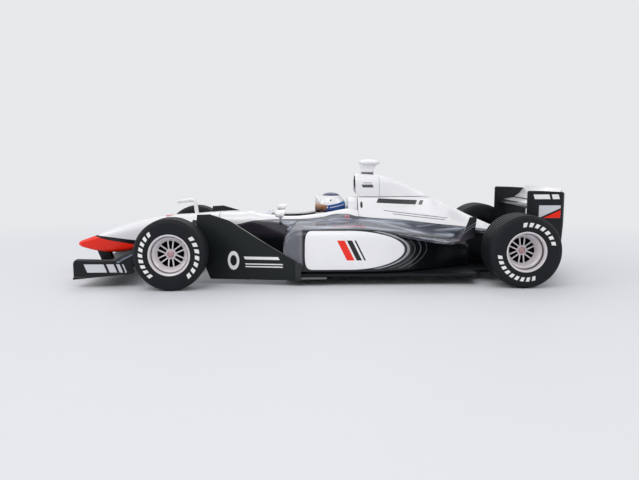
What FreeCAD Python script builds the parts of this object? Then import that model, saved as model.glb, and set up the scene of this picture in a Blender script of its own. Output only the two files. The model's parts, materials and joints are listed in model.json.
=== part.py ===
import FreeCAD, Part
import math
import os
import Sketcher

# An open wheel racing car, as a die-cast and plastic scale model, in millimetres.
# +X points to the nose, +Y to the car's left and +Z up.
# The wheels stand on Z = 0, and X = 0 is half way along the model.
# Inside each sub-part X is counted from the front axle, forwards; its Placement moves it to the frame.

os.makedirs("parts", exist_ok=True)
doc = FreeCAD.newDocument("RacingCar")

# Driving dimensions: name, millimetres (or a plain count), what it is.
SIZES = (
    ("wheelbase", 72.0, "front axle to rear axle"),
    ("front_overhang", 24.2, "front axle to the tip of the nose"),
    ("rear_overhang", 12.5, "rear axle to the rain light"),
    ("panel_gap", 0.06, "clearance left between glued pieces"),

    ("front_tyre_radius", 7.27, "front tyre, tread"),
    ("front_tyre_width", 6.0, "front tyre over its sidewalls"),
    ("front_wheel_face", 20.93, "centre line to the front tyre's outer sidewall"),
    ("front_dish", 2.1, "depth of the front spokes behind the rim's lip"),
    ("rear_tyre_radius", 7.55, "rear tyre, tread"),
    ("rear_tyre_width", 7.95, "rear tyre over its sidewalls"),
    ("rear_wheel_face", 20.31, "centre line to the rear tyre's outer sidewall"),
    ("rear_dish", 3.1, "depth of the rear spokes behind the rim's lip"),
    ("bead_radius", 4.24, "where the tyre sits on its rim"),
    ("lip_inset", 0.2, "rim's lip behind the tyre's sidewall"),
    ("rim_wall", 0.5, "thickness of the rim's barrel"),
    ("window_radius", 2.66, "outer end of the openings between the spokes"),
    ("hub_radius", 1.25, "wheel hub"),
    ("spoke_width", 0.26, "one spoke, across"),
    ("spoke_gap", 0.3, "between the two spokes of a pair"),
    ("spoke_depth", 0.7, "spoke, along the axle"),
    ("nut_radius", 0.72, "wheel nut"),
    ("nut_height", 0.45, "wheel nut, proud of the spokes"),
    ("pin_radius", 0.6, "stub axle in the wheel hub"),
    ("running_gap", 0.05, "radial clearance of the hub on its stub axle"),
    ("hub_wall", 0.35, "hub left in front of the stub axle"),
    ("side_gap", 0.2, "between the upright and the turning wheel"),
    ("upright_radius", 2.9, "upright and brake drum"),
    ("upright_depth", 1.5, "upright and brake drum, along the axle"),

    ("joint_station", 8.2, "front axle back to the joint between nose and tub"),
    ("joint_width", 9.4, "nose and tub at their joint"),
    ("joint_top", 14.3, "top of the nose at the joint"),
    ("joint_low", 6.8, "underside of the nose at the joint"),
    ("bulkhead_station", 39.0, "front axle back to the bulkhead behind the driver"),
    ("tub_width", 13.0, "tub at the driver's shoulders"),
    ("tub_top", 14.6, "top of the tub at the bulkhead"),
    ("cockpit_front", 19.6, "front axle back to the front of the cockpit opening"),
    ("cockpit_back", 37.2, "front axle back to the back of the cockpit opening"),
    ("cockpit_width", 8.6, "cockpit opening"),
    ("cockpit_floor", 4.2, "floor of the cockpit above the ground"),

    ("floor_low", 1.9, "underside of the floor plate"),
    ("floor_thickness", 0.6, "floor plate"),
    ("floor_width", 31.8, "floor plate beside the sidepods"),
    ("floor_front", 22.6, "front axle back to the wide part of the floor"),
    ("floor_step_lead", 8.6, "rear axle forwards to the step ahead of the rear tyres"),
    ("tail_clearance", 1.56, "between the floor's tail and a rear tyre"),
    ("floor_tail_lead", 4.5, "rear axle forwards to the foot of the diffuser"),
    ("tongue_front", 9.5, "front axle back to the tip of the floor's tongue"),
    ("tongue_width", 9.0, "floor's tongue under the tub"),
    ("plank_width", 6.4, "plank under the floor"),
    ("plank_thickness", 0.8, "plank under the floor"),
    ("screw_radius", 0.9, "screw holes for a display stand"),
    ("front_screw_station", 30.0, "front axle back to the front screw hole"),
    ("rear_screw_lead", 14.0, "rear axle forwards to the rear screw hole"),
    ("screw_depth", 1.4, "screw holes above the floor plate"),
    ("diffuser_rise", 3.2, "diffuser's trailing edge above the floor"),
    ("diffuser_reach", 8.6, "rear axle back to the diffuser's trailing edge"),
    ("diffuser_thickness", 0.5, "diffuser's skin and fences"),

    ("cover_tail_lead", 1.5, "rear axle forwards to the tail of the engine cover"),
    ("airbox_front", 38.6, "front axle back to the mouth of the airbox"),
    ("airbox_top", 23.0, "top of the airbox"),
    ("airbox_low", 17.8, "seam between airbox and engine cover"),
    ("airbox_width", 5.6, "mouth of the airbox"),
    ("airbox_mouth_wall", 0.55, "lip round the mouth of the airbox"),
    ("airbox_mouth_depth", 3.0, "recess behind the mouth of the airbox"),
    ("headrest_width", 7.4, "head rest"),
    ("headrest_front", 36.9, "front axle back to the head rest"),

    ("pod_front", 22.5, "front axle back to the lip of the sidepod"),
    ("pod_tail_lead", 8.0, "rear axle forwards to where the sidepod ends"),
    ("pod_width", 31.2, "over both sidepods"),
    ("pod_top", 11.8, "outer top edge of the sidepod"),
    ("pod_crown", 13.3, "top of the sidepod beside the tub"),
    ("intake_width", 5.6, "sidepod's intake, across"),
    ("intake_height", 5.6, "sidepod's intake, upright"),
    ("intake_depth", 6.9, "recess behind the intake"),
    ("pod_wall", 0.9, "sidepod's skin at the intake"),

    ("wing_front", 19.2, "front axle forwards to the front wing's leading edge"),
    ("wing_back", 9.4, "front axle forwards to the main plane's trailing edge"),
    ("wing_span", 31.2, "front wing between its end plates"),
    ("wing_low", 2.7, "underside of the front wing"),
    ("wing_thickness", 0.9, "front wing's main plane"),
    ("endplate_thickness", 0.5, "end plates and boards"),
    ("endplate_front", 20.4, "front axle forwards to the front end plate"),
    ("endplate_back", 8.3, "front axle forwards to the tip of the flap"),
    ("endplate_top", 5.9, "top edge of the front end plate"),
    ("endplate_low", 1.7, "bottom edge of the front end plate"),
    ("endplate_foot", 0.45, "foot along the front end plate's bottom, proud"),
    ("flap_tip", 7.5, "top of the front flap"),
    ("pylon_thickness", 0.5, "front wing's two pylons"),
    ("pylon_spacing", 3.2, "between the middles of the pylons"),

    ("board_top", 14.8, "top of the barge board"),
    ("board_low", 1.2, "bottom of the barge board"),
    ("board_front", 4.2, "front axle back to the barge board"),
    ("board_back", 26.2, "front axle back to the barge board's tail"),
    ("board_front_y", 11.8, "centre line to the barge board's front end"),
    ("board_flange", 0.25, "flange along the barge board's tail, proud"),
    ("board_foot_reach", 5.4, "barge board's foot behind its tail"),
    ("board_foot_thickness", 0.4, "barge board's foot"),

    ("rear_plate_lead", 2.8, "rear axle back to the rear end plate"),
    ("rear_plate_reach", 10.8, "rear axle back to the rear end plate's tail"),
    ("rear_plate_top", 19.7, "top of the rear end plate"),
    ("rear_plate_low", 5.0, "bottom of the rear end plate"),
    ("rear_plate_gap", 0.3, "between the diffuser and the rear end plate"),
    ("rear_wing_low", 15.5, "underside of the rear wing"),
    ("rear_wing_thickness", 0.8, "rear wing's main plane"),
    ("beam_low", 10.0, "underside of the beam wing"),
    ("beam_thickness", 0.7, "beam wing"),

    ("gearbox_width", 4.6, "gearbox and crash structure"),
    ("gearbox_low", 4.2, "underside of the gearbox"),
    ("light_width", 2.2, "rain light"),
    ("light_height", 2.0, "rain light"),
    ("light_depth", 0.8, "rain light"),

    ("front_arm_spread", 9.0, "front axle back to the root of the rear legs"),
    ("rear_arm_spread", 7.2, "rear axle forwards to the root of the front legs"),
    ("arm_chord", 0.95, "suspension arms, along the car"),
    ("arm_thickness", 0.45, "suspension arms, upright"),
    ("shaft_radius", 0.5, "drive shafts"),

    ("helmet_length", 7.0, "driver's helmet"),
    ("helmet_width", 5.9, "driver's helmet"),
    ("helmet_top", 18.7, "top of the driver's helmet"),
    ("helmet_low", 12.9, "bottom of the driver's helmet"),
    ("helmet_station", 33.1, "front axle back to the middle of the helmet"),

    ("mirror_reach", 9.5, "centre line to the middle of a mirror"),
    ("mirror_width", 3.0, "mirror's housing, across the car"),
    ("mirror_height", 1.7, "mirror's housing"),
    ("mirror_depth", 2.2, "mirror's housing, along the car"),
    ("mirror_station", 21.8, "front axle back to the mirror"),
    ("mirror_low", 13.8, "underside of the mirror"),
    ("stalk_thickness", 0.6, "mirror stalk"),

    ("pod_plate_top", 26.3, "top of the camera pod"),
    ("pod_plate_low", 24.8, "underside of the camera pod"),
    ("pod_plate_length", 4.9, "camera pod"),
    ("pod_plate_width", 3.4, "camera pod"),
    ("probe_thickness", 0.9, "probe"),
    ("probe_station", 2.6, "front axle back to the probe"),
    ("probe_top", 17.6, "top of the probe"),
    ("probe_reach", 4.5, "probe's forward arm"),

    ("flip_lead", 25.4, "rear axle forwards to where the flip-up begins"),
    ("flip_tail_lead", 9.4, "rear axle forwards to the flip-up's trailing edge"),
    ("flip_width", 29.4, "over both flip-ups"),
    ("flip_low", 8.4, "lowest point of the flip-up's underside"),
    ("flip_top", 12.8, "flip-up's trailing edge"),
    ("flip_thickness", 0.5, "flip-up's skin and fence"),
    ("fence_top", 14.4, "top of the fence on the flip-up"),
)

sheet = doc.addObject("Spreadsheet::Sheet", "Sizes")
for row, (alias, amount, note) in enumerate(SIZES, start=1):
    sheet.set(f"A{row}", alias)
    sheet.set(f"B{row}", str(amount))
    sheet.set(f"C{row}", note)
    sheet.setAlias(f"B{row}", alias)
doc.recompute()


class Term:
    """A length of the sheet, or one worked out from such lengths, with its expression."""

    def __init__(self, text, number):
        self.text = text
        self.number = number

    def __add__(self, other):
        other = term(other)
        return Term(f"({self.text} + {other.text})", self.number + other.number)

    def __sub__(self, other):
        other = term(other)
        return Term(f"({self.text} - {other.text})", self.number - other.number)

    def __mul__(self, other):
        other = term(other)
        return Term(f"({self.text} * {other.text})", self.number * other.number)

    def __truediv__(self, other):
        other = term(other)
        return Term(f"({self.text} / {other.text})", self.number / other.number)

    def __neg__(self):
        return Term(f"(0 - {self.text})", -self.number)

    def __radd__(self, other):
        return term(other) + self

    def __rsub__(self, other):
        return term(other) - self

    def __rmul__(self, other):
        return term(other) * self


def term(amount):
    """The amount as a Term; a plain number is a share or zero."""
    if isinstance(amount, Term):
        return amount
    return Term(repr(float(amount)), float(amount))


class Sizes:
    """The cells of the sheet by name."""

    def __init__(self, cells):
        for name in cells:
            setattr(self, name, Term(f"Sizes.{name}", float(sheet.get(name))))


size = Sizes([alias for alias, amount, note in SIZES])


def between(start, end, share):
    """The place that lies this share of the way from start to end."""
    return start + (end - start) * share


def smaller(first, second):
    """The smaller of two lengths, as the sheet's own formula."""
    return Term(f"min({first.text}; {second.text})", min(first.number, second.number))


# Views: the origin plane a sketch lies on and the sign of its offset along the plane's normal.
VIEWS = {
    "front": ("YZ_Plane", 1),
    "side": ("XZ_Plane", -1),
    "top": ("XY_Plane", 1),
}
ACROSS = "DistanceX"
UPWARD = "DistanceY"


def new_body(label):
    """An empty body whose Placement carries the front axle to its place in the frame."""
    body = doc.addObject("PartDesign::Body", label)
    body.Label = label
    body.setExpression("Placement.Base.x", axle_x.text)
    return body


axle_x = (size.wheelbase + size.rear_overhang - size.front_overhang) / 2


def origin_plane(body, role):
    """The body's own origin plane with this role."""
    return next(plane for plane in body.Origin.OriginFeatures if plane.Role == role)


def corner_points(corners, index):
    """Where a corner's arc starts and ends, and its middle; all one point on a sharp corner."""
    here = FreeCAD.Vector(corners[index][0].number, corners[index][1].number, 0)
    last = corners[index - 1]
    following = corners[(index + 1) % len(corners)]
    radius = corners[index][2].number
    if radius == 0:
        return here, here, here
    back = (FreeCAD.Vector(last[0].number, last[1].number, 0) - here).normalize()
    ahead = (FreeCAD.Vector(following[0].number, following[1].number, 0) - here).normalize()
    half = back.getAngle(ahead) / 2
    reach = radius / math.tan(half)
    middle = here + (back + ahead).normalize() * (radius / math.sin(half))
    return here + back * reach, here + ahead * reach, middle


def arc_between(start, end, middle):
    """The short arc from start to end, and whether it runs anticlockwise."""
    turn = (start - middle).cross(end - middle).z
    if turn < 0:
        start, end = end, start
    spread = start - middle
    finish = end - middle
    circle = Part.Circle(middle, FreeCAD.Vector(0, 0, 1), spread.Length)
    first = math.atan2(spread.y, spread.x)
    second = math.atan2(finish.y, finish.x)
    return Part.ArcOfCircle(circle, first, second), turn >= 0


def pin_point(sketch, geometry, end, across, up):
    """Hold a point of the sketch at two bound distances from the sketch's origin."""
    for kind, amount in ((ACROSS, across), (UPWARD, up)):
        held = sketch.addConstraint(Sketcher.Constraint(kind, -1, 1, geometry, end, amount.number))
        sketch.setExpression(f"Constraints[{held}]", amount.text)


def outline(body, name, view, corners, at=0):
    """A closed sketch through corners (across, up, radius); without a radius a corner is sharp."""
    sketch = body.newObject("Sketcher::SketchObject", name)
    role, sign = VIEWS[view]
    sketch.AttachmentSupport = [(origin_plane(body, role), "")]
    sketch.MapMode = "FlatFace"
    sketch.setExpression("AttachmentOffset.Base.z", (term(at) * sign).text)
    corners = [tuple(term(amount) for amount in (*corner, 0)[:3]) for corner in corners]
    count = len(corners)
    bends = [corner_points(corners, index) for index in range(count)]
    for index in range(count):
        edge = Part.LineSegment(bends[index][1], bends[(index + 1) % count][0])
        sketch.addGeometry(edge, False)
    for index, (across, up, radius) in enumerate(corners):
        before = (index - 1) % count
        if radius.number == 0:
            sketch.addConstraint(Sketcher.Constraint("Coincident", before, 2, index, 1))
            pin_point(sketch, index, 1, across, up)
            continue
        arc, forward = arc_between(*bends[index])
        bend = sketch.addGeometry(arc, False)
        entry, leave = (1, 2) if forward else (2, 1)
        here = FreeCAD.Vector(across.number, up.number, 0)
        corner = sketch.addGeometry(Part.Point(here), True)
        sketch.addConstraint(Sketcher.Constraint("Tangent", before, 2, bend, entry))
        sketch.addConstraint(Sketcher.Constraint("Tangent", bend, leave, index, 1))
        sketch.addConstraint(Sketcher.Constraint("PointOnObject", corner, 1, before))
        sketch.addConstraint(Sketcher.Constraint("PointOnObject", corner, 1, index))
        pin_point(sketch, corner, 1, across, up)
        held = sketch.addConstraint(Sketcher.Constraint("Radius", bend, radius.number))
        sketch.setExpression(f"Constraints[{held}]", radius.text)
    return sketch


def mirrored(points):
    """A symmetric outline from the points of its left half, top to bottom or the other way."""
    return list(points) + [(-1 * corner[0], *corner[1:]) for corner in reversed(points)]


def loft(body, name, sections):
    """A solid through sketches in the order given, with straight runs between them."""
    feature = body.newObject("PartDesign::AdditiveLoft", name)
    feature.Profile = sections[0]
    feature.Sections = sections[1:]
    feature.Ruled = True
    return feature


def pad(body, name, sketch, length, view="front"):
    """Raise a sketch along its view's positive axis."""
    feature = body.newObject("PartDesign::Pad", name)
    feature.Profile = sketch
    feature.setExpression("Length", term(length).text)
    feature.Reversed = VIEWS[view][1] < 0
    return feature


def pocket(body, name, sketch, length, view="front"):
    """Cut a sketch along its view's positive axis."""
    feature = body.newObject("PartDesign::Pocket", name)
    feature.Profile = sketch
    feature.setExpression("Length", term(length).text)
    feature.Reversed = VIEWS[view][1] > 0
    return feature


def plate(label, view, corners, start, thickness):
    """A body that is one outline raised from start by its thickness."""
    body = new_body(label)
    pad(body, "skin", outline(body, "shape", view, corners, start), thickness, view)
    return body


def spin(body, name, sketch):
    """Turn a front-view sketch once round the body's Y axis."""
    feature = body.newObject("PartDesign::Revolution", name)
    feature.Profile = sketch
    feature.ReferenceAxis = (sketch, ["H_Axis"])
    feature.Angle = 360
    return feature


def limb(body, name, start, end, chord, thickness):
    """An arm of flat section between two places (x, y, z)."""
    ends = []
    for tail, (x, y, z) in (("in", start), ("out", end)):
        x, z = term(x), term(z)
        corners = (
            (x - chord / 2, z - thickness / 2),
            (x + chord / 2, z - thickness / 2),
            (x + chord / 2, z + thickness / 2),
            (x - chord / 2, z + thickness / 2),
        )
        ends.append(outline(body, f"{name}_{tail}", "side", corners, y))
    return loft(body, name, ends)


def keep(label, item):
    """Give an object its node name."""
    item.Label = label
    return item


def trimmed(label, base, *neighbours):
    """A piece cut back to the faces of the pieces it fits against."""
    base.Label = f"{label}_raw"
    tool = neighbours[0]
    if len(neighbours) > 1:
        tool = doc.addObject("Part::MultiFuse", f"{label}_neighbours")
        tool.Shapes = list(neighbours)
    cut = doc.addObject("Part::Cut", label)
    cut.Base = base
    cut.Tool = tool
    return keep(label, cut)


def together(label, items):
    """Like pieces of one body as one object; they don't touch."""
    group = doc.addObject("Part::Compound", label)
    group.Links = items
    return keep(label, group)


def other_side(label, source):
    """The right-hand twin of a left-hand piece."""
    twin = doc.addObject("Part::Mirroring", label)
    twin.Source = source
    twin.Normal = (0, 1, 0)
    twin.Base = (0, 0, 0)
    return keep(label, twin)


nodes = []


def pair(label, left):
    """Keep a left-hand piece and its right-hand twin."""
    nodes.append(keep(f"{label}_left", left))
    nodes.append(other_side(f"{label}_right", left))


def both(label, left):
    """Keep a left-hand piece and its right-hand twin as one node."""
    left.Label = f"{label}_left"
    nodes.append(together(label, [left, other_side(f"{label}_right", left)]))


# Heights and places that several pieces share.
rear_axle = -size.wheelbase
floor_top = size.floor_low + size.floor_thickness
chassis_low = floor_top
tail_end = rear_axle - size.rear_overhang
bulkhead = -size.bulkhead_station
joint = -size.joint_station
cover_tail = rear_axle + size.cover_tail_lead
floor_step = rear_axle + size.floor_step_lead
floor_tail = rear_axle + size.floor_tail_lead
plate_front = rear_axle - size.rear_plate_lead
plate_back = rear_axle - size.rear_plate_reach
tail_half = size.rear_wheel_face - size.rear_tyre_width - size.tail_clearance
rear_half = tail_half + size.rear_plate_gap
screw_places = (-size.front_screw_station, rear_axle + size.rear_screw_lead)


def tub_section(body, name, x, shoulder, keel, low, high, top_round, low_round):
    """A section of nose or tub: half widths at shoulder and keel, and its two heights."""
    half = mirrored([(shoulder, high, top_round), (keel, low, low_round)])
    return outline(body, name, "front", half, x)


# Nose cone
# Along is the share of the nose's length from its tip; the widths are shares of the joint's width,
# the heights shares of its top, and the rounds shares of the section's own half width.
nose_shares = (
    (0.0, 0.10, 0.09, 0.462, 0.515, 0.30, 0.30),
    (0.05, 0.155, 0.13, 0.447, 0.560, 0.40, 0.35),
    (0.12, 0.20, 0.17, 0.420, 0.625, 0.45, 0.35),
    (0.22, 0.255, 0.21, 0.388, 0.715, 0.45, 0.30),
    (0.33, 0.31, 0.25, 0.405, 0.800, 0.45, 0.30),
    (0.44, 0.36, 0.29, 0.470, 0.872, 0.45, 0.30),
    (0.60, 0.425, 0.34, 0.520, 0.937, 0.42, 0.30),
    (0.80, 0.475, 0.37, 0.500, 0.967, 0.40, 0.30),
)
joint_keel_share = 0.39
joint_round_shares = (0.38, 0.28)
nose_length = size.front_overhang + size.joint_station


def joint_section(body, name):
    """The section that the nose and the tub share."""
    half = size.joint_width / 2
    top_round, low_round = (half * share for share in joint_round_shares)
    keel = size.joint_width * joint_keel_share
    return tub_section(body, name, joint, half, keel, size.joint_low, size.joint_top,
                       top_round, low_round)


def make_nose():
    """The nose cone, from its blunt tip to the joint."""
    body = new_body("nose_cone")
    sections = []
    for index, (along, wide, narrow, low, high, top_round, low_round) in enumerate(nose_shares):
        half = size.joint_width * wide
        sections.append(tub_section(
            body, f"section_{index}", size.front_overhang - nose_length * along,
            half, size.joint_width * narrow, size.joint_top * low, size.joint_top * high,
            half * top_round, half * low_round))
    sections.append(joint_section(body, "joint"))
    loft(body, "shell", sections)
    return body


# Tub
# Along runs from the nose joint to the bulkhead; widths are shares of the tub's width and
# heights shares of its top.
tub_shares = (
    (0.185, 0.395, 0.335, 0.36, 0.990, 0.36, 0.25),
    (0.370, 0.430, 0.400, None, 0.955, 0.36, 0.15),
    (0.545, 0.465, 0.450, None, 0.940, 0.36, 0.15),
    (0.740, 0.490, 0.480, None, 0.985, 0.36, 0.15),
    (0.935, 0.500, 0.495, None, 1.045, 0.36, 0.15),
    (1.000, 0.500, 0.495, None, 1.030, 0.36, 0.15),
)
cockpit_round_share = 0.3


def make_tub():
    """The tub with its open cockpit."""
    body = new_body("monocoque")
    sections = [joint_section(body, "joint")]
    for index, (along, wide, narrow, low, high, top_round, low_round) in enumerate(tub_shares):
        half = size.tub_width * wide
        bottom = chassis_low if low is None else size.tub_top * low
        sections.append(tub_section(
            body, f"section_{index}", between(joint, bulkhead, along),
            half, size.tub_width * narrow, bottom, size.tub_top * high,
            half * top_round, half * low_round))
    loft(body, "shell", sections)
    rounding = size.cockpit_width * cockpit_round_share
    half = size.cockpit_width / 2
    opening = [
        (-size.cockpit_front, half, rounding),
        (-size.cockpit_back, half, rounding),
        (-size.cockpit_back, -half, rounding),
        (-size.cockpit_front, -half, rounding),
    ]
    mouth = outline(body, "cockpit_opening", "top", opening, size.cockpit_floor)
    pocket(body, "cockpit", mouth, size.tub_top, "top")
    screw_hole(body, screw_places[0], chassis_low, size.screw_depth)
    return body


def screw_hole(body, place, low, depth):
    """A round hole upwards from a flat underside, for a display stand's screw."""
    sketch = body.newObject("Sketcher::SketchObject", "screw_outline")
    sketch.AttachmentSupport = [(origin_plane(body, "XY_Plane"), "")]
    sketch.MapMode = "FlatFace"
    sketch.setExpression("AttachmentOffset.Base.z", low.text)
    middle = FreeCAD.Vector(place.number, 0, 0)
    circle = Part.Circle(middle, FreeCAD.Vector(0, 0, 1), size.screw_radius.number)
    ring = sketch.addGeometry(circle, False)
    pin_point(sketch, ring, 3, place, term(0))
    held = sketch.addConstraint(Sketcher.Constraint("Radius", ring, size.screw_radius.number))
    sketch.setExpression(f"Constraints[{held}]", size.screw_radius.text)
    pocket(body, "screw_hole", sketch, depth, "top")


# Engine cover
# Along runs from the bulkhead to the cover's tail. Each section has a foot, a waist and a spine:
# half widths as shares of the tub's width, heights as shares of the airbox's top. A spine without
# a height ends at the seam with the airbox.
cover_shares = (
    (0.00, 0.470, 0.575, 0.36, 0.655, 0.245, None),
    (0.25, 0.470, 0.562, 0.34, 0.650, 0.215, None),
    (0.43, 0.440, 0.535, 0.27, 0.620, 0.150, None),
    (0.56, 0.370, 0.508, 0.20, 0.590, 0.075, 0.762),
    (0.69, 0.290, 0.475, 0.15, 0.540, 0.060, 0.680),
    (0.855, 0.220, 0.445, 0.12, 0.490, 0.050, 0.572),
    (1.00, 0.150, 0.400, 0.09, 0.430, 0.040, 0.487),
)
cover_round_share = 0.7


def make_core():
    """Rear chassis: the core under the engine cover, with gearbox and crash structure."""
    body = new_body("rear_chassis")
    sections = []
    for index, (along, foot, low) in enumerate(row[:3] for row in cover_shares):
        half = size.tub_width * foot
        base = chassis_low if along < 1 else size.gearbox_low
        corners = mirrored([(half, size.airbox_top * low), (half, base)])
        sections.append(outline(body, f"section_{index}", "front", corners,
                                between(bulkhead, cover_tail, along)))
    loft(body, "core", sections)
    end = tail_end + size.light_depth
    half = size.gearbox_width / 2
    start = between(bulkhead, cover_tail, cover_shares[-2][0])
    top = size.beam_low
    corners = mirrored([(half, top), (half, size.gearbox_low)])
    back = mirrored([(half * 0.7, top), (half * 0.7, between(size.gearbox_low, top, 0.4))])
    box = [outline(body, "gearbox_front", "front", corners, start),
           outline(body, "gearbox_back", "front", back, end)]
    loft(body, "gearbox", box)
    screw_hole(body, screw_places[1], chassis_low, size.screw_depth)
    return body


def make_cover():
    """The engine cover behind the bulkhead, up to its seam with the airbox."""
    body = new_body("engine_cover")
    sections = []
    for index, (along, foot, low, waist, middle, spine, top) in enumerate(cover_shares):
        crest = size.airbox_low if top is None else size.airbox_top * top
        ridge = size.tub_width * spine
        corners = mirrored([
            (ridge, crest, ridge * cover_round_share),
            (size.tub_width * waist, size.airbox_top * middle),
            (size.tub_width * foot, size.airbox_top * low),
        ])
        sections.append(outline(body, f"section_{index}", "front", corners,
                                between(bulkhead, cover_tail, along)))
    loft(body, "shell", sections)
    return body


# Airbox
# Along runs from its mouth to the point where its spine meets the seam; heights run from the
# seam to the airbox's top, widths are shares of the mouth's.
airbox_shares = (
    (0.0, 0.50, 0.50, 1.00),
    (0.30, 0.50, 0.46, 0.93),
    (0.45, 0.44, 0.34, 0.85),
    (0.70, 0.34, 0.20, 0.47),
    (0.99, 0.17, 0.10, 0.04),
)
airbox_end_share = 0.56
airbox_round_shares = (0.8, 0.45)


def make_airbox():
    """The airbox over the driver's head, with its open mouth."""
    body = new_body("airbox")
    end = between(bulkhead, cover_tail, airbox_end_share)
    sections = []
    for index, (along, foot, crown, high) in enumerate(airbox_shares):
        top = between(size.airbox_low, size.airbox_top, high)
        wide = size.airbox_width * crown
        shares = airbox_round_shares
        rounding = smaller(wide * shares[0], (top - size.airbox_low) * shares[1])
        corners = mirrored([
            (wide, top, rounding),
            (size.airbox_width * foot, size.airbox_low),
        ])
        sections.append(outline(body, f"section_{index}", "front", corners,
                                between(-size.airbox_front, end, along)))
    loft(body, "shell", sections)
    half = size.airbox_width / 2 - size.airbox_mouth_wall
    rounding = half * 0.75
    mouth = mirrored([
        (half, size.airbox_top - size.airbox_mouth_wall, rounding),
        (half, size.airbox_low + size.airbox_mouth_wall * 2, rounding),
    ])
    back = -size.airbox_front - size.airbox_mouth_depth
    pocket(body, "mouth", outline(body, "mouth_outline", "front", mouth, back),
           size.airbox_mouth_depth * 2)
    return body


def make_headrest(tub):
    """The head rest between the cockpit and the bulkhead, under the airbox."""
    front = -size.headrest_front
    low = size.tub_top * 0.95
    half = size.headrest_width / 2
    body = new_body("headrest")
    tall = size.airbox_low
    face = mirrored([(half * 0.8, tall - size.panel_gap, half * 0.3), (half, low, 0)])
    rear = mirrored([(half * 0.85, tall - size.panel_gap, half * 0.3), (half, low, 0)])
    loft(body, "pad", [outline(body, "front", "front", face, front),
                       outline(body, "back", "front", rear, bulkhead)])
    return trimmed("headrest", body, tub)


# Sidepods
# Along runs from the lip to the tail; inner and outer are shares of the half width over the pods,
# and the two heights are shares of the outer edge's and the crown's.
pod_shares = (
    (0.000, 0.330, 0.955, 0.695, 0.660),
    (0.010, 0.330, 0.965, 0.830, 0.805),
    (0.034, 0.335, 0.980, 0.930, 0.900),
    (0.084, 0.340, 1.000, 0.990, 0.960),
    (0.434, 0.340, 1.000, 0.985, 1.000),
    (0.588, 0.300, 0.940, 0.890, 0.960),
    (0.757, 0.200, 0.700, 0.780, 0.880),
    (0.900, 0.120, 0.470, 0.700, 0.800),
    (1.000, 0.100, 0.340, 0.600, 0.700),
)
pod_round_shares = (0.12, 0.05)


def make_pod(tub, core, cover):
    """The left sidepod, cut to the tub, the core and the engine cover, with its intake."""
    body = new_body("sidepod")
    half = size.pod_width / 2
    pod_tail = rear_axle + size.pod_tail_lead
    sections = []
    for index, (along, inner, outer, edge, crown) in enumerate(pod_shares):
        wide = half * outer
        corners = [
            (half * inner, chassis_low),
            (wide, chassis_low, wide * pod_round_shares[1]),
            (wide, size.pod_top * edge, wide * pod_round_shares[0]),
            (half * inner, size.pod_crown * crown),
        ]
        sections.append(outline(body, f"section_{index}", "front", corners,
                                between(-size.pod_front, pod_tail, along)))
    loft(body, "shell", sections)
    outer = half * pod_shares[0][2] - size.pod_wall
    low = chassis_low + size.pod_wall
    rounding = size.intake_width * 0.25
    intake = [
        (outer - size.intake_width, low, rounding),
        (outer, low, rounding),
        (outer, low + size.intake_height, rounding),
        (outer - size.intake_width, low + size.intake_height, rounding),
    ]
    back = -size.pod_front - size.intake_depth
    pocket(body, "intake", outline(body, "intake_outline", "front", intake, back),
           size.intake_depth * 2)
    return trimmed("sidepod_left", body, tub, core, cover)


# Floor
def make_floor():
    """The floor plate: tongue, wide middle, and tail between the rear tyres."""
    corners = [
        (-size.tongue_front, size.tongue_width / 2, size.tongue_width * 0.25),
        (-size.floor_front, size.tongue_width / 2),
        (-size.floor_front - size.floor_thickness * 3, size.floor_width / 2, size.floor_thickness),
        (floor_step, size.floor_width / 2, size.floor_thickness),
        (floor_step, tail_half),
        (floor_tail, tail_half),
    ]
    corners += [(corner[0], -1 * corner[1], *corner[2:]) for corner in reversed(corners)]
    body = plate("floor_plate", "top", corners, size.floor_low, size.floor_thickness)
    for place in screw_places:
        screw_hole(body, place, size.floor_low, size.floor_thickness)
    return body


def make_plank():
    """The plank under the floor, with the two screw holes."""
    half = size.plank_width / 2
    corners = [
        (-size.tongue_front - size.plank_width * 0.15, half, half * 0.5),
        (floor_tail, half),
        (floor_tail, -1 * half),
        (-size.tongue_front - size.plank_width * 0.15, -1 * half, half * 0.5),
    ]
    low = size.floor_low - size.plank_thickness
    body = plate("plank", "top", corners, low, size.plank_thickness)
    for place in screw_places:
        screw_hole(body, place, low, size.plank_thickness)
    return body


diffuser_curve_shares = ((0.35, 0.16), (0.7, 0.52))
diffuser_fence_shares = (0.25, 0.62)


def make_diffuser():
    """The diffuser behind the floor: a rising skin and its upright fences."""
    body = new_body("diffuser")
    start = floor_tail
    end = rear_axle - size.diffuser_reach
    low = size.floor_low
    top = low + size.diffuser_rise
    thick = size.diffuser_thickness
    under = [(start, low)]
    under += [(between(start, end, along), between(low, top, rise))
              for along, rise in diffuser_curve_shares]
    under.append((end, top))
    over = [(x, z + thick) for x, z in reversed(under)]
    half = tail_half
    skin = outline(body, "skin_outline", "side", under + over, -1 * half)
    pad(body, "skin", skin, half * 2, "side")
    spread = [share * side for share in (*diffuser_fence_shares, 1.0) for side in (-1, 1)]
    for index, share in enumerate(spread):
        start_y = (half - thick / 2) * share - thick / 2
        fence = [(start, low), (end, low + size.diffuser_rise * 0.15), (end, top + thick / 2)]
        fence += [(x, z + thick / 2) for x, z in reversed(under[1:-1])]
        fence += [(start, low + thick / 2)]
        pad(body, f"fence_{index}",
            outline(body, f"fence_outline_{index}", "side", fence, start_y), thick, "side")
    return body


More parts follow.
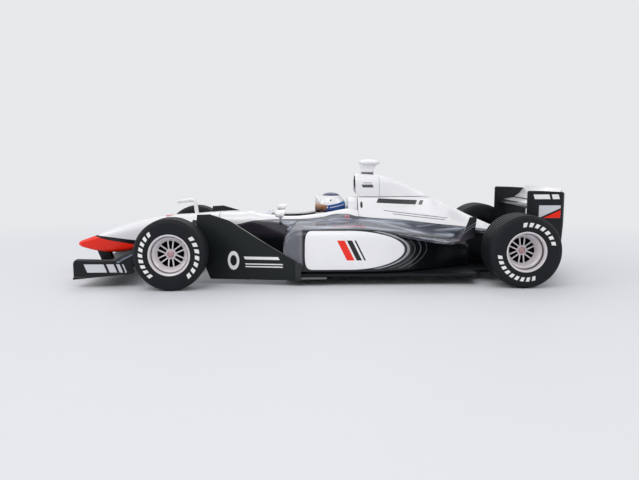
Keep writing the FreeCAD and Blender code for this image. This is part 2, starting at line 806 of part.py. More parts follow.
# Front wing
def aerofoil(nose_x, nose_z, tail_x, tail_z, thickness, belly):
    """The outline of a wing: a blunt nose, a hollow top and a sharp tail."""
    middle_x = between(nose_x, tail_x, 0.45)
    middle_z = between(nose_z, tail_z, 0.45) - belly
    return [
        (nose_x, nose_z, thickness * 0.3),
        (middle_x, middle_z),
        (tail_x, tail_z),
        (tail_x, tail_z + thickness * 0.25),
        (middle_x, middle_z + thickness * 0.9),
        (nose_x, nose_z + thickness, thickness * 0.4),
    ]


def make_front_wing():
    """The front wing's main plane."""
    corners = aerofoil(size.wing_front, size.wing_low, size.wing_back,
                       size.wing_low + size.wing_thickness * 0.6, size.wing_thickness,
                       size.wing_thickness * 0.2)
    half = size.wing_span / 2
    return plate("front_wing", "side", corners, -1 * half, size.wing_span)


flap_share = 0.42
flap_inner_share = 0.2


def make_front_flap():
    """The left flap above and behind the main plane."""
    front = between(size.wing_back, size.wing_front, flap_share)
    low = size.wing_low + size.wing_thickness * 1.3
    thick = size.wing_thickness * 0.6
    corners = aerofoil(front, low, size.endplate_back, size.flap_tip - thick, thick, thick * 0.6)
    half = size.wing_span / 2
    return plate("front_flap", "side", corners, half * flap_inner_share,
                 half * (1 - flap_inner_share))


def make_front_endplate():
    """The left end plate of the front wing."""
    front = size.endplate_front
    back = size.endplate_back
    top = size.endplate_top
    low = size.endplate_low
    reach = front - back
    corners = [
        (front, low),
        (front, top, (top - low) * 0.25),
        (back + reach * 0.3, top - (top - low) * 0.05),
        (back + reach * 0.16, between(top, size.flap_tip, 0.45)),
        (back, size.flap_tip),
        (back, between(low, top, 0.5)),
        (back - reach * 0.02, between(low, top, 0.28)),
    ]
    start = size.wing_span / 2
    body = plate("front_endplate", "side", corners, start, size.endplate_thickness)
    rise = size.endplate_foot
    foot = [
        (front, low),
        (front, low + rise),
        (back - reach * 0.02, between(low, top, 0.28) + rise),
        (back - reach * 0.02, between(low, top, 0.28)),
    ]
    pad(body, "foot", outline(body, "foot_outline", "side", foot, start), size.endplate_thickness + rise,
        "side")
    return body


pylon_shares = (0.84, 1.0)


def make_pylons(nose):
    """The two pylons that hold the front wing under the nose."""
    front = size.wing_front * pylon_shares[1]
    back = size.wing_front * pylon_shares[0]
    low = size.wing_low + size.wing_thickness
    corners = [(back, low), (front - size.wing_thickness, low),
               (front + size.wing_thickness, size.joint_top * 0.5),
               (back, size.joint_top * 0.5)]
    sides = []
    for side in (1, -1):
        start = size.pylon_spacing / 2 * side - size.pylon_thickness / 2
        sides.append(plate("pylon", "side", corners, start, size.pylon_thickness))
    return trimmed("wing_pylons", together("pylon_blanks", sides), nose)


# Barge boards
board_shares = (
    (0.02, 0.99),
    (0.14, 1.00),
    (0.34, 0.90),
    (0.42, 0.82),
    (0.70, 0.54),
    (1.00, 0.26),
    (1.00, 0.00),
    (0.14, 0.00),
    (0.00, 0.58),
)


def make_board(floor):
    """The left barge board, from beside the front wheel to the outside of the sidepod."""
    body = new_body("barge_board")
    outer = size.pod_width / 2 + size.panel_gap
    corners = []
    for along, high in board_shares:
        x = between(-size.board_front, -size.board_back, along)
        corners.append((x, between(size.board_low, size.board_top, high)))
    sketch = outline(body, "shape", "side", corners, size.board_front_y)
    turn = f"-1 * atan({((outer - size.board_front_y) / size.board_back).text})"
    sketch.setExpression("AttachmentOffset.Rotation.Angle", turn)
    sketch.setExpression("AttachmentOffset.Rotation.Axis.x", "0")
    sketch.setExpression("AttachmentOffset.Rotation.Axis.y", "1")
    sketch.setExpression("AttachmentOffset.Rotation.Axis.z", "0")
    pad(body, "board", sketch, size.endplate_thickness, "side")
    tail = -size.board_back
    flange = [
        (tail, size.board_low),
        (tail + size.endplate_thickness * 3, size.board_low),
        (tail + size.endplate_thickness * 3, corners[5][1] + size.endplate_thickness),
        (tail, corners[5][1]),
    ]
    pad(body, "flange", outline(body, "flange_outline", "side", flange, outer),
        size.endplate_thickness + size.board_flange, "side")
    top = size.floor_low - size.panel_gap
    foot = [
        (tail + size.endplate_thickness, outer, 0),
        (tail + size.endplate_thickness, outer + size.endplate_thickness, 0),
        (tail - size.board_foot_reach, outer + size.endplate_thickness, size.endplate_thickness),
        (tail - size.board_foot_reach, outer - size.board_foot_reach / 3, size.endplate_thickness),
    ]
    pad(body, "foot", outline(body, "foot_outline", "top", foot, top - size.board_foot_thickness),
        size.board_foot_thickness, "top")
    return trimmed("barge_board", body, floor)


# Rear wing
def make_rear_endplate():
    """The left end plate of the rear wing, down to the diffuser."""
    front = plate_front
    back = plate_back
    top = size.rear_plate_top
    low = size.rear_plate_low
    corners = [
        (front, top, size.endplate_thickness),
        (front, between(low, top, 0.48)),
        (between(front, back, 0.45), low),
        (between(front, back, 0.94), low),
        (back, between(low, top, 0.5)),
        (back, top - size.endplate_thickness * 0.8, size.endplate_thickness),
    ]
    return plate("rear_endplate", "side", corners, rear_half, size.endplate_thickness)


rear_wing_shares = (0.1, 0.58)
rear_flap_shares = (0.62, 0.96)
rear_bend_shares = (0.5, 0.22)


def make_rear_wing():
    """The rear wing's main plane."""
    front, back = (between(plate_front, plate_back, share) for share in rear_wing_shares)
    thick = size.rear_wing_thickness
    corners = aerofoil(front, size.rear_wing_low, back, size.rear_wing_low + thick * 1.6,
                       thick, thick * 0.3)
    return plate("rear_wing", "side", corners, -1 * rear_half, rear_half * 2)


def make_rear_flap():
    """The steep flap above the rear wing's main plane."""
    front, back = (between(plate_front, plate_back, share) for share in rear_flap_shares)
    thick = size.rear_wing_thickness * 0.75
    low = size.rear_wing_low + size.rear_wing_thickness * 1.4
    tip = size.rear_plate_top + thick * 0.5
    bend_x = between(front, back, rear_bend_shares[0])
    bend_z = between(low, tip, rear_bend_shares[1])
    corners = [
        (front, low, thick * 0.3),
        (bend_x, bend_z, thick * 3),
        (back, tip - thick * 0.4),
        (back, tip),
        (bend_x + thick * 0.6, bend_z + thick * 0.9, thick * 2),
        (front, low + thick, thick * 0.4),
    ]
    return plate("rear_flap", "side", corners, -1 * rear_half, rear_half * 2)


def make_beam_wing():
    """The low beam wing that ties the end plates to the gearbox."""
    front = between(plate_front, plate_back, 0.55)
    back = plate_back
    low = size.beam_low
    thick = size.beam_thickness
    corners = [
        (front, low, thick * 0.3),
        (between(front, back, 0.7), low),
        (back, low + thick),
        (back, low + thick * 1.3),
        (between(front, back, 0.6), low + thick),
        (front, low + thick, thick * 0.4),
    ]
    return plate("beam_wing", "side", corners, -1 * rear_half, rear_half * 2)


def make_light():
    """The rain light on the crash structure."""
    half = size.light_width / 2
    middle = between(size.gearbox_low, size.beam_low, 0.7)
    corners = mirrored([
        (half, middle + size.light_height / 2, half * 0.3),
        (half, middle - size.light_height / 2, half * 0.3),
    ])
    return plate("rain_light", "front", corners, tail_end, size.light_depth)


# Wheels
# How far the rim reaches back, as a share of the tyre's half width, and the tyre's profile from
# sidewall to tread: share of the half width, share of bead to tread.
rim_back_share = 0.86
tyre_shares = (
    (1.00, 0.0),
    (1.00, 0.60),
    (0.95, 0.87),
    (0.80, 1.0),
)


def make_tyre(label, radius, width):
    """A tyre with flat sidewalls, rounded shoulders and a plain tread."""
    body = new_body(label)
    half = [(width / 2 * wide, between(size.bead_radius, radius, high))
            for wide, high in tyre_shares]
    profile = half + [(-1 * y, z) for y, z in reversed(half)]
    spin(body, "tyre", outline(body, "profile", "front", profile))
    return body


def spoke_outline(side):
    """One spoke of a pair, upright, from inside the hub into the barrel."""
    near = size.spoke_gap / 2 * side
    far = (size.spoke_gap / 2 + size.spoke_width) * side
    low = size.hub_radius * 0.7
    high = size.window_radius + size.rim_wall
    return [(near, low), (far, low), (far, high), (near, high)]


spoke_pairs = 6


def make_rim(label, width, dish):
    """A rim, pushed into its tyre from outside: lip, barrel, dished face, pairs of thin spokes,
    and a hub with a blind bore and a nut."""
    body = new_body(label)
    inner = width / 2 * rim_back_share
    outer = width / 2 - size.lip_inset
    bead = size.bead_radius
    wall = bead - size.rim_wall
    face = outer - dish
    back = face - size.spoke_depth
    profile = [
        (outer, wall),
        (outer, bead),
        (-1 * inner, bead),
        (-1 * inner, wall),
        (back, wall),
        (back, size.window_radius),
        (face, size.window_radius),
    ]
    spin(body, "barrel", outline(body, "profile", "front", profile))
    spokes = []
    for index, side in enumerate((1, -1)):
        shape = outline(body, f"spoke_outline_{index}", "side", spoke_outline(side), back)
        spokes.append(pad(body, f"spoke_{index}", shape, size.spoke_depth, "side"))
    ring = body.newObject("PartDesign::PolarPattern", "spokes")
    ring.Originals = spokes
    ring.Axis = (origin_line(body, "Y_Axis"), [""])
    ring.Angle = 360
    ring.Occurrences = spoke_pairs
    body.Tip = ring
    root = -1 * inner + size.side_gap
    hub = [
        (root, 0),
        (face + size.nut_height, 0),
        (face + size.nut_height, size.nut_radius),
        (face, size.nut_radius),
        (face, size.hub_radius),
        (root, size.hub_radius),
    ]
    spin(body, "hub", outline(body, "hub_profile", "front", hub))
    bore = size.pin_radius + size.running_gap
    drill = [(root, 0), (face - size.hub_wall, 0), (face - size.hub_wall, bore), (root, bore)]
    cut = body.newObject("PartDesign::Groove", "bore")
    sketch = outline(body, "bore_profile", "front", drill)
    cut.Profile = sketch
    cut.ReferenceAxis = (sketch, ["H_Axis"])
    cut.Angle = 360
    return body


def origin_line(body, role):
    """The body's own origin axis with this role."""
    return next(line for line in body.Origin.OriginFeatures if line.Role == role)


def make_upright(label, x, radius, face, width, dish):
    """Upright with its brake drum and the stub axle that the wheel turns on."""
    body = new_body(label)
    drum = face - width / 2 * (1 + rim_back_share)
    inner = drum - size.upright_depth
    tip = face - size.lip_inset - dish - size.hub_wall - size.side_gap
    profile = [
        (inner, 0),
        (tip, 0),
        (tip, size.pin_radius),
        (drum, size.pin_radius),
        (drum, size.upright_radius),
        (inner, size.upright_radius),
    ]
    spin(body, "turned", outline(body, "profile", "front", profile))
    body.setExpression("Placement.Base.x", (axle_x + x).text)
    body.setExpression("Placement.Base.z", radius.text)
    return body


def place_wheel(body, x, radius, face, width):
    """Put a wheel's piece on its axle."""
    body.setExpression("Placement.Base.x", (axle_x + x).text)
    body.setExpression("Placement.Base.y", (face - width / 2).text)
    body.setExpression("Placement.Base.z", radius.text)


def make_wheels():
    """Both axles' tyres, rims and uprights, left and right."""
    for end, x, radius, face, width, dish in (
        ("front", term(0), size.front_tyre_radius, size.front_wheel_face,
         size.front_tyre_width, size.front_dish),
        ("rear", rear_axle, size.rear_tyre_radius, size.rear_wheel_face,
         size.rear_tyre_width, size.rear_dish),
    ):
        tyre = make_tyre(f"{end}_tyre", radius, width)
        rim = make_rim(f"{end}_rim", width, dish)
        for piece in (tyre, rim):
            place_wheel(piece, x, radius, face, width)
        pair(f"{end}_tyre", tyre)
        pair(f"{end}_rim", rim)
        pair(f"{end}_upright", make_upright(f"{end}_upright", x, radius, face, width, dish))


def upright_inner(face, width):
    """Inner face of an upright, where the suspension arms end."""
    return face - width / 2 * (1 + rim_back_share) - size.upright_depth


# Suspension arms: where each starts on the chassis (x, half width, height) and where it ends
# on the upright (x, height), as shares of the arms' spread, the tub's width and the tyre's radius.
front_arm_shares = (
    ("upper_front", (0.44, 0.26, 1.60), (0.0, 1.22)),
    ("upper_rear", (-1.0, 0.26, 1.60), (-0.03, 1.22)),
    ("lower_front", (0.40, 0.26, 1.12), (0.016, 0.76)),
    ("lower_rear", (-0.96, 0.26, 1.02), (-0.03, 0.76)),
    ("push_rod", (-0.32, 0.28, 1.78), (-0.05, 0.98)),
    ("track_rod", (0.29, 0.28, 1.36), (0.18, 1.02)),
)
rear_arm_shares = (
    ("upper_front", (0.85, 0.10, 1.28), (0.04, 1.24)),
    ("upper_rear", (-0.55, 0.10, 1.20), (-0.04, 1.24)),
    ("lower_front", (1.0, 0.12, 0.66), (0.04, 0.74)),
    ("lower_rear", (-0.6, 0.12, 0.66), (-0.06, 0.74)),
)


def make_arms(end, arms, spread, x, radius, face, width):
    """The arms of one corner, each a flat blade; those that meet at the upright are one piece."""
    outer = upright_inner(face, width)
    groups = {}
    for name, start, finish in arms:
        family = name.split("_")[0]
        groups.setdefault(family, []).append((name, start, finish))
    bodies = []
    for family, members in groups.items():
        body = new_body(f"{end}_{family}_arm")
        for name, (along, out, high), (end_along, end_high) in members:
            limb(body, name,
                 (x + spread * along, size.tub_width * out, radius * high),
                 (x + spread * end_along, outer, radius * end_high),
                 size.arm_chord, size.arm_thickness)
        bodies.append(body)
    return together(f"{end}_arms", bodies)


def make_shaft():
    """The left drive shaft, from the gearbox to the rear upright."""
    body = new_body("drive_shaft")
    inner = size.gearbox_width / 2
    outer = upright_inner(size.rear_wheel_face, size.rear_tyre_width)
    boot = size.shaft_radius * 2.2
    neck = inner + boot * 1.6
    profile = [(inner, 0), (outer, 0), (outer, size.shaft_radius), (neck, size.shaft_radius),
               (inner + boot, boot), (inner, boot)]
    spin(body, "turned", outline(body, "profile", "front", profile))
    body.setExpression("Placement.Base.x", (axle_x + rear_axle).text)
    body.setExpression("Placement.Base.z", size.rear_tyre_radius.text)
    return body


# Driver, steering wheel and cockpit
# The helmet's profile from its side to its crown: shares of its half width and half length.
helmet_shares = ((1.0, 0.0), (1.0, 0.33), (0.893, 0.663), (0.6, 0.909), (0.2, 1.0))


def make_helmet():
    """The driver's helmet: a rounded drum turned about a line across the car, cut at the neck."""
    body = new_body("driver_helmet")
    reach = size.helmet_length / 2
    half = size.helmet_width / 2
    profile = mirrored([(half * wide, reach * high) for wide, high in helmet_shares])
    spin(body, "shell", outline(body, "profile", "front", profile))
    drop = size.helmet_low - size.helmet_top + reach
    neck = [(-reach, drop), (reach, drop), (reach, -reach), (-reach, -reach)]
    pocket(body, "neck", outline(body, "neck_outline", "side", neck, -half), half * 2, "side")
    body.setExpression("Placement.Base.x", (axle_x - size.helmet_station).text)
    body.setExpression("Placement.Base.z", (size.helmet_top - reach).text)
    return body


def make_torso():
    """The driver's shoulders and chest, seated on the cockpit floor."""
    low = size.cockpit_floor
    high = size.helmet_low
    half = size.cockpit_width / 2 - size.spoke_gap
    back = -size.cockpit_back + size.cockpit_width * 0.2
    front = -size.helmet_station + size.helmet_length * 0.45
    corners = [
        (back, low, (high - low) * 0.15),
        (back - size.panel_gap, high, (high - low) * 0.15),
        (front, high, (high - low) * 0.2),
        (front + size.helmet_length * 0.5, low + (high - low) * 0.35, (high - low) * 0.1),
        (front + size.helmet_length * 0.6, low),
    ]
    return plate("driver_torso", "side", corners, -1 * half, half * 2)


def make_dashboard():
    """The dash bulkhead at the front of the cockpit."""
    high = between(size.cockpit_floor, size.tub_top, 0.86)
    half = size.cockpit_width / 2 * 0.66
    corners = mirrored([(half, high, half * 0.3), (half, size.cockpit_floor, 0)])
    start = -size.cockpit_front - size.cockpit_width * 0.24
    return plate("dashboard", "front", corners, start, size.endplate_thickness)


def make_steering_wheel():
    """The steering wheel and the short column that holds it to the dash."""
    body = new_body("steering_wheel")
    dash = -size.cockpit_front - size.cockpit_width * 0.24
    half = size.cockpit_width * 0.3
    middle = between(size.cockpit_floor, size.tub_top, 0.66)
    thick = size.endplate_thickness
    column = [(half * 0.2, middle + half * 0.2), (half * 0.2, middle - half * 0.2)]
    reach = size.cockpit_width * 0.18
    pad(body, "column", outline(body, "column_outline", "front", mirrored(column), dash - reach),
        reach)
    grip = mirrored([(half, middle + half * 0.6, half * 0.4),
                     (half, middle - half * 0.6, half * 0.4)])
    pad(body, "grip", outline(body, "grip_outline", "front", grip, dash - reach - thick), thick)
    return body


def make_windscreen(tub):
    """The low curved screen ahead of the cockpit opening."""
    front = -size.cockpit_front + size.cockpit_width * 0.45
    back = -size.cockpit_front + size.endplate_thickness * 0.3
    half = size.cockpit_width / 2
    low = size.tub_top * 0.7
    high = size.tub_top * 0.99
    foot = mirrored([(half * 0.5, size.tub_top * 0.985, half * 0.3), (half * 0.5, low, 0)])
    lip = mirrored([(half * 0.85, high, half * 0.6), (half * 0.85, low, 0)])
    body = new_body("windscreen")
    loft(body, "shell", [outline(body, "foot", "front", foot, front),
                         outline(body, "lip", "front", lip, back)])
    return trimmed("windscreen", body, tub)


# Small pieces on the body
# Mirror sections from the glass forwards: place along the housing and inset, as shares of its
# depth and its height.
mirror_shares = ((-0.5, 0.0), (-0.38, 0.05), (-0.15, 0.17), (0.3, 0.22), (0.5, 0.36))
mirror_corner_share = 0.5


def make_mirror(tub):
    """The left mirror with its stalk."""
    body = new_body("mirror")
    middle = -size.mirror_station
    low = size.mirror_low
    high = low + size.mirror_height
    inner = size.mirror_reach - size.mirror_width / 2
    outer = size.mirror_reach + size.mirror_width / 2
    sections = []
    for index, (along, shrink) in enumerate(mirror_shares):
        inset = size.mirror_height * shrink
        corner = (size.mirror_height / 2 - inset) * mirror_corner_share
        start, end, under, over = inner + inset, outer - inset, low + inset, high - inset
        corners = [
            (start + corner, under),
            (end - corner, under),
            (end, under + corner),
            (end, over - corner),
            (end - corner, over),
            (start + corner, over),
            (start, over - corner),
            (start, under + corner),
        ]
        sections.append(outline(body, f"section_{index}", "front", corners,
                                middle + size.mirror_depth * along))
    loft(body, "housing", sections)
    thick = size.stalk_thickness
    root = size.tub_width * 0.36
    stalk = [
        (inner + thick, low + thick * 0.6),
        (inner + thick * 2.4, low + thick * 0.6),
        (root + thick, low - size.mirror_height * 1.3),
        (root, low - size.mirror_height * 1.3),
    ]
    pad(body, "stalk", outline(body, "stalk_outline", "front", stalk, middle - thick / 2), thick)
    return trimmed("mirror", body, tub)


def make_camera_pod(airbox):
    """The camera pod on its flared stem, on top of the airbox."""
    body = new_body("camera_pod")
    front = -size.airbox_front - size.airbox_mouth_wall * 1.6
    back = front - size.pod_plate_length
    low = size.pod_plate_low
    high = size.pod_plate_top
    reach = size.pod_plate_length
    top = [
        (front, low + (high - low) * 0.3, (high - low) * 0.25),
        (front, high, (high - low) * 0.4),
        (back, high, (high - low) * 0.4),
        (back, low + (high - low) * 0.5, (high - low) * 0.2),
        (back + reach * 0.2, low),
        (front - reach * 0.12, low),
    ]
    half = size.pod_plate_width / 2
    pad(body, "head", outline(body, "head_outline", "side", top, -1 * half), half * 2, "side")
    foot = size.airbox_top - size.airbox_mouth_wall * 0.8
    stem = [
        (front - reach * 0.05, low),
        (front - reach * 0.11, foot),
        (front - reach * 0.68, foot),
        (front - reach * 0.82, low),
    ]
    pad(body, "stem", outline(body, "stem_outline", "side", stem, half * -0.4), half * 0.8, "side")
    return trimmed("camera_pod", body, airbox)


def make_probe(nose):
    """The bent air-speed probe on top of the nose."""
    body = new_body("nose_probe")
    thick = size.probe_thickness
    half = thick / 2
    x = -size.probe_station
    top = size.probe_top
    low = size.joint_top * 0.9
    lean = half * 0.9
    tip = x + size.probe_reach
    corners = [
        (x - half, low),
        (x + half, low),
        (x + lean + half, top - thick, half * 0.6),
        (tip, top - thick * 1.45, half * 0.5),
        (tip, top - thick * 0.5, half * 0.5),
        (x + lean - half, top, thick * 0.9),
    ]
    pad(body, "tube", outline(body, "tube_outline", "side", corners, half * -1), thick, "side")
    return trimmed("nose_probe", body, nose)


# Flip-up from front to tail: place along it, rise of its underside, how far its upper side leans
# forwards in thicknesses, and the bend's radius in thicknesses.
flip_curve_shares = (
    (0.0, 0.41, 0.0, 0),
    (0.25, 0.23, 0.0, 0),
    (0.51, 0.07, 0.0, 8),
    (0.70, 0.0, 0.1, 6),
    (0.84, 0.12, 0.4, 5),
    (0.94, 0.46, 0.8, 4),
    (1.0, 1.0, 0.9, 0),
)


def make_flip_up(pod, tub, core, cover):
    """The left flip-up behind the sidepod, a curved shelf with a fence on its outer end."""
    body = new_body("flip_up")
    start = rear_axle + size.flip_lead
    end = rear_axle + size.flip_tail_lead
    low = size.flip_low
    high = size.flip_top
    thick = size.flip_thickness
    under = [(between(start, end, along), between(low, high, rise), thick * bend)
             for along, rise, lean, bend in flip_curve_shares]
    over = [(between(start, end, along) + thick * lean,
             between(low, high, rise) + thick * (1 - lean / 2), thick * bend * 0.9)
            for along, rise, lean, bend in reversed(flip_curve_shares)]
    outer = size.flip_width / 2
    inner = size.tub_width * 0.25
    shelf = outline(body, "shelf_outline", "side", under + over, inner)
    pad(body, "shelf", shelf, outer - inner, "side")
    fence = [
        (between(start, end, 0.80), low + thick),
        (end, between(low, high, 0.35)),
        (end - thick, size.fence_top),
        (end + thick * 2, size.fence_top - thick * 0.4),
        (between(start, end, 0.87), between(low, high, 0.62)),
    ]
    pad(body, "fence", outline(body, "fence_outline", "side", fence, outer - thick),
        thick, "side")
    return trimmed("flip_up", body, pod, tub, core, cover)


# The whole car
nose = make_nose()
tub = make_tub()
core = make_core()
cover_raw = make_cover()
cover = trimmed("engine_cover", cover_raw, core)
airbox = make_airbox()
floor = make_floor()
nodes += [nose, tub, core, cover, airbox, make_headrest(tub)]
pod = make_pod(tub, core, cover)
pair("sidepod", pod)
both("flip_ups", make_flip_up(pod, tub, core, cover))
nodes += [floor, make_plank(), make_diffuser()]
nodes += [make_front_wing(), make_pylons(nose)]
both("front_flaps", make_front_flap())
both("front_endplates", make_front_endplate())
both("barge_boards", make_board(floor))
nodes += [make_rear_wing(), make_rear_flap(), make_beam_wing(), make_light()]
both("rear_endplates", make_rear_endplate())
make_wheels()
front_arms = make_arms("front", front_arm_shares, size.front_arm_spread, term(0),
                       size.front_tyre_radius, size.front_wheel_face, size.front_tyre_width)
both("front_suspension", trimmed("front_arms_cut", front_arms, nose, tub))
rear_arms = make_arms("rear", rear_arm_shares, size.rear_arm_spread, rear_axle,
                      size.rear_tyre_radius, size.rear_wheel_face, size.rear_tyre_width)
both("rear_suspension", trimmed("rear_arms_cut", rear_arms, core))
both("drive_shafts", make_shaft())
nodes += [make_helmet(), make_torso(), make_dashboard(), make_steering_wheel()]
nodes += [make_windscreen(tub), make_camera_pod(airbox), make_probe(nose)]
both("mirrors", make_mirror(tub))

doc.recompute()

# Check every object, then write one file for each node.
for item in doc.Objects:
    if "Invalid" in item.State or "Error" in item.State:
        raise RuntimeError(f"{item.Name} did not build: {item.State}")
for node in nodes:
    if node.Shape.isNull() or not node.Shape.isValid():
        raise RuntimeError(f"{node.Label} has no valid shape")
for node in nodes:
    node.Shape.exportStep(os.path.join("parts", f"{node.Label}.step"))
    box = node.Shape.BoundBox
    print(f"{node.Label}: {len(node.Shape.Solids)} solids, "
          f"x {box.XMin:.2f} to {box.XMax:.2f}, y {box.YMin:.2f} to {box.YMax:.2f}, "
          f"z {box.ZMin:.2f} to {box.ZMax:.2f}")
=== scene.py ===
"""Open wheel racing car, a scale model: its painted and moulded pieces, its wheels and its stage."""

import json
import math
from functools import cache
from types import SimpleNamespace

import bmesh
import bpy
from bpy.props import FloatProperty, FloatVectorProperty, IntProperty, PointerProperty
from mathutils import Matrix, Vector


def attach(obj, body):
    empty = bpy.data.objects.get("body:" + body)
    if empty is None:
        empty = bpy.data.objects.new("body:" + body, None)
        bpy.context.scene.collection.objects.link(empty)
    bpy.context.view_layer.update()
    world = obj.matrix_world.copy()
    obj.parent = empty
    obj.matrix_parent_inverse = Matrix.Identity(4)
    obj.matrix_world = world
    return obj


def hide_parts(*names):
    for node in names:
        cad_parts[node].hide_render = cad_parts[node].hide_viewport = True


bl_info = {
    "name": "Open Wheel Racing Car Model",
    "version": (1, 0, 0),
    "blender": (4, 5, 0),
    "location": "View3D > Sidebar > Racing Car",
    "description": "Dresses the frame of a scale model racing car with its finished pieces",
    "category": "Add Mesh",
}

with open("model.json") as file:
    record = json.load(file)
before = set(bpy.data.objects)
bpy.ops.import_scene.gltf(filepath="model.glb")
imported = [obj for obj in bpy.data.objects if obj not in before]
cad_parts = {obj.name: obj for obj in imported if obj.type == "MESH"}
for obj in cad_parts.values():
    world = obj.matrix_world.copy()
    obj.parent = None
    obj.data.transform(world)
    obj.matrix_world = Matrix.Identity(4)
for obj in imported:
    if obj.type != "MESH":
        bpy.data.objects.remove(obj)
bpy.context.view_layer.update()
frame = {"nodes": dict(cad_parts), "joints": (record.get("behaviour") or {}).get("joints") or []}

MM = 0.001
# Degrees past which an edge of a smooth modelled shell is rounded.
CREASE = 50
JOINTS = {joint["name"]: Vector(joint["pos_m"]) for joint in frame["joints"]}
FRONT_AXLE = JOINTS["front_left_spin"]
CHASSIS = "chassis"


# Sizes and colours that a user would change

def length(name, description, amount):
    """A length property, given in millimetres."""
    return FloatProperty(name=name, description=description, default=amount * MM,
                         min=0.0, unit="LENGTH", precision=5)


def colour(name, description, red, green, blue):
    """A colour property."""
    return FloatVectorProperty(name=name, description=description, subtype="COLOR",
                               default=(red, green, blue), min=0.0, max=1.0)


def angle(name, description, degrees):
    """An angle property, given in degrees."""
    return FloatProperty(name=name, description=description, default=math.radians(degrees),
                         subtype="ANGLE")


def power(name, description, watts):
    """A lamp's power property."""
    return FloatProperty(name=name, description=description, default=watts, unit="POWER")


class CarColours(bpy.types.PropertyGroup):
    """Paints and plastics of the model."""

    white: colour("White", "Gloss white of nose, cover and airbox", 0.86, 0.85, 0.86)
    # Silver and shine are the dark and bright sides of the chrome's painted reflections.
    silver: colour("Silver", "Dark side of the chrome on the sidepods", 0.085, 0.095, 0.12)
    shine: colour("Shine", "Bright streaks in the chrome", 0.56, 0.60, 0.68)
    smoke: colour("Smoke", "Dark violet grey panels", 0.030, 0.024, 0.034)
    black: colour("Black", "Satin black of boards, wings and floor", 0.006, 0.0075, 0.0095)
    red: colour("Red", "Bright orange red under the nose", 0.86, 0.018, 0.003)
    lip: colour("Lip", "Grey of the sidepods' lips", 0.12, 0.125, 0.15)
    rim: colour("Rim", "Silver of the rims", 0.72, 0.68, 0.70)
    nut: colour("Nut", "Rose grey wheel nuts", 0.46, 0.28, 0.29)
    rubber: colour("Rubber", "Tyres", 0.0075, 0.009, 0.0115)
    mark: colour("Mark", "White sidewall marks", 0.82, 0.82, 0.80)
    blue: colour("Blue", "Helmet's blue", 0.01, 0.075, 0.32)
    navy: colour("Navy", "Helmet's crown", 0.008, 0.016, 0.10)
    visor: colour("Visor", "Amber brown visor", 0.26, 0.085, 0.022)
    steel: colour("Steel", "Axles and uprights", 0.30, 0.30, 0.32)
    lamp: colour("Lamp", "Rain light", 0.55, 0.02, 0.02)


class CarSizes(bpy.types.PropertyGroup):
    """Fine sizes of the finish."""

    edge_round: length("Edge round", "Rounding of moulded edges", 0.07)
    seam: length("Seam", "Width of the seams between panels", 0.10)
    groove_width: length("Groove width", "Grooves round the tread", 0.42)
    groove_depth: length("Groove depth", "Grooves round the tread", 0.32)
    sidewall_bulge: length("Sidewall bulge", "Tyre wall past its bead", 0.12)
    turns: IntProperty(name="Turns", description="Facets round a wheel", default=96, min=24)


class StageSettings(bpy.types.PropertyGroup):
    """Camera, lamps and floor."""

    lens: FloatProperty(name="Lens", description="Focal length", default=36.06, unit="CAMERA")
    camera_x: length("Camera ahead", "Camera forward of the model's middle", 5.035)
    camera_y: length("Camera distance", "Camera from the centre plane", 147.005)
    camera_z: length("Camera height", "Camera above the ground", 26.1)
    pitch: angle("Pitch", "Camera tilted down", 7.14)
    yaw: angle("Yaw", "Camera turned from the side view", -2.1405)
    roll: angle("Roll", "Camera turned about its view", 0.0815)
    key_power: power("Key power", "Main lamp", 0.55)
    fill_power: power("Fill power", "Side lamps", 0.28)
    floor_colour: colour("Floor", "Pale floor", 0.72, 0.73, 0.75)
    backdrop: colour("Backdrop", "Pale background", 0.80, 0.81, 0.83)


# Shapes

def place(x, y, z):
    """A point in millimetres: forward of the front axle, left of the middle, above the ground."""
    return Vector((FRONT_AXLE.x + x * MM, y * MM, z * MM))


def trace(rows, x):
    """The values at x on smooth curves through rows (x, value, value, ...) of falling x."""
    last = len(rows) - 1
    index = next((i for i in range(last) if x >= rows[i + 1][0]), last - 1)

    def slope(row, column):
        if row in (0, last):
            other = 1 if row == 0 else last - 1
            return (rows[other][column] - rows[row][column]) / (rows[other][0] - rows[row][0])
        before = (rows[row][column] - rows[row - 1][column]) / (rows[row][0] - rows[row - 1][0])
        after = (rows[row + 1][column] - rows[row][column]) / (rows[row + 1][0] - rows[row][0])
        return 0.0 if before * after <= 0 else 2 * before * after / (before + after)

    start, end = rows[index], rows[index + 1]
    span = end[0] - start[0]
    t = min(max((x - start[0]) / span, 0.0), 1.0)
    values = []
    for column in range(1, len(start)):
        values.append(
            start[column] * (1 + 2 * t) * (1 - t) ** 2
            + end[column] * t * t * (3 - 2 * t)
            + span * slope(index, column) * t * (1 - t) ** 2
            + span * slope(index + 1, column) * t * t * (t - 1))
    return values


def rounded(corners, arc_steps, line_steps):
    """Points round a closed outline of corners (across, up, radius)."""
    bends = []
    count = len(corners)
    for index, (across, up, radius) in enumerate(corners):
        here = Vector((across, up))
        back = Vector(corners[index - 1][:2]) - here
        ahead = Vector(corners[(index + 1) % count][:2]) - here
        half = back.angle(ahead) / 2
        reach = min(radius / math.tan(half), back.length * 0.49, ahead.length * 0.49)
        start = here + back.normalized() * reach
        end = here + ahead.normalized() * reach
        curve = []
        for step in range(arc_steps + 1):
            t = step / arc_steps
            weight = math.sin(half)
            blend = (1 - t) ** 2 + 2 * t * (1 - t) * weight + t * t
            point = start * (1 - t) ** 2 + here * (2 * t * (1 - t) * weight) + end * t * t
            curve.append(point / blend)
        bends.append(curve)
    points = []
    for index, curve in enumerate(bends):
        points += curve
        end, start = curve[-1], bends[(index + 1) % count][0]
        points += [end.lerp(start, step / line_steps) for step in range(1, line_steps)]
    return points


def both_sides(corners):
    """A symmetric outline from its left half."""
    return list(corners) + [(-across, up, radius) for across, up, radius in reversed(corners)]


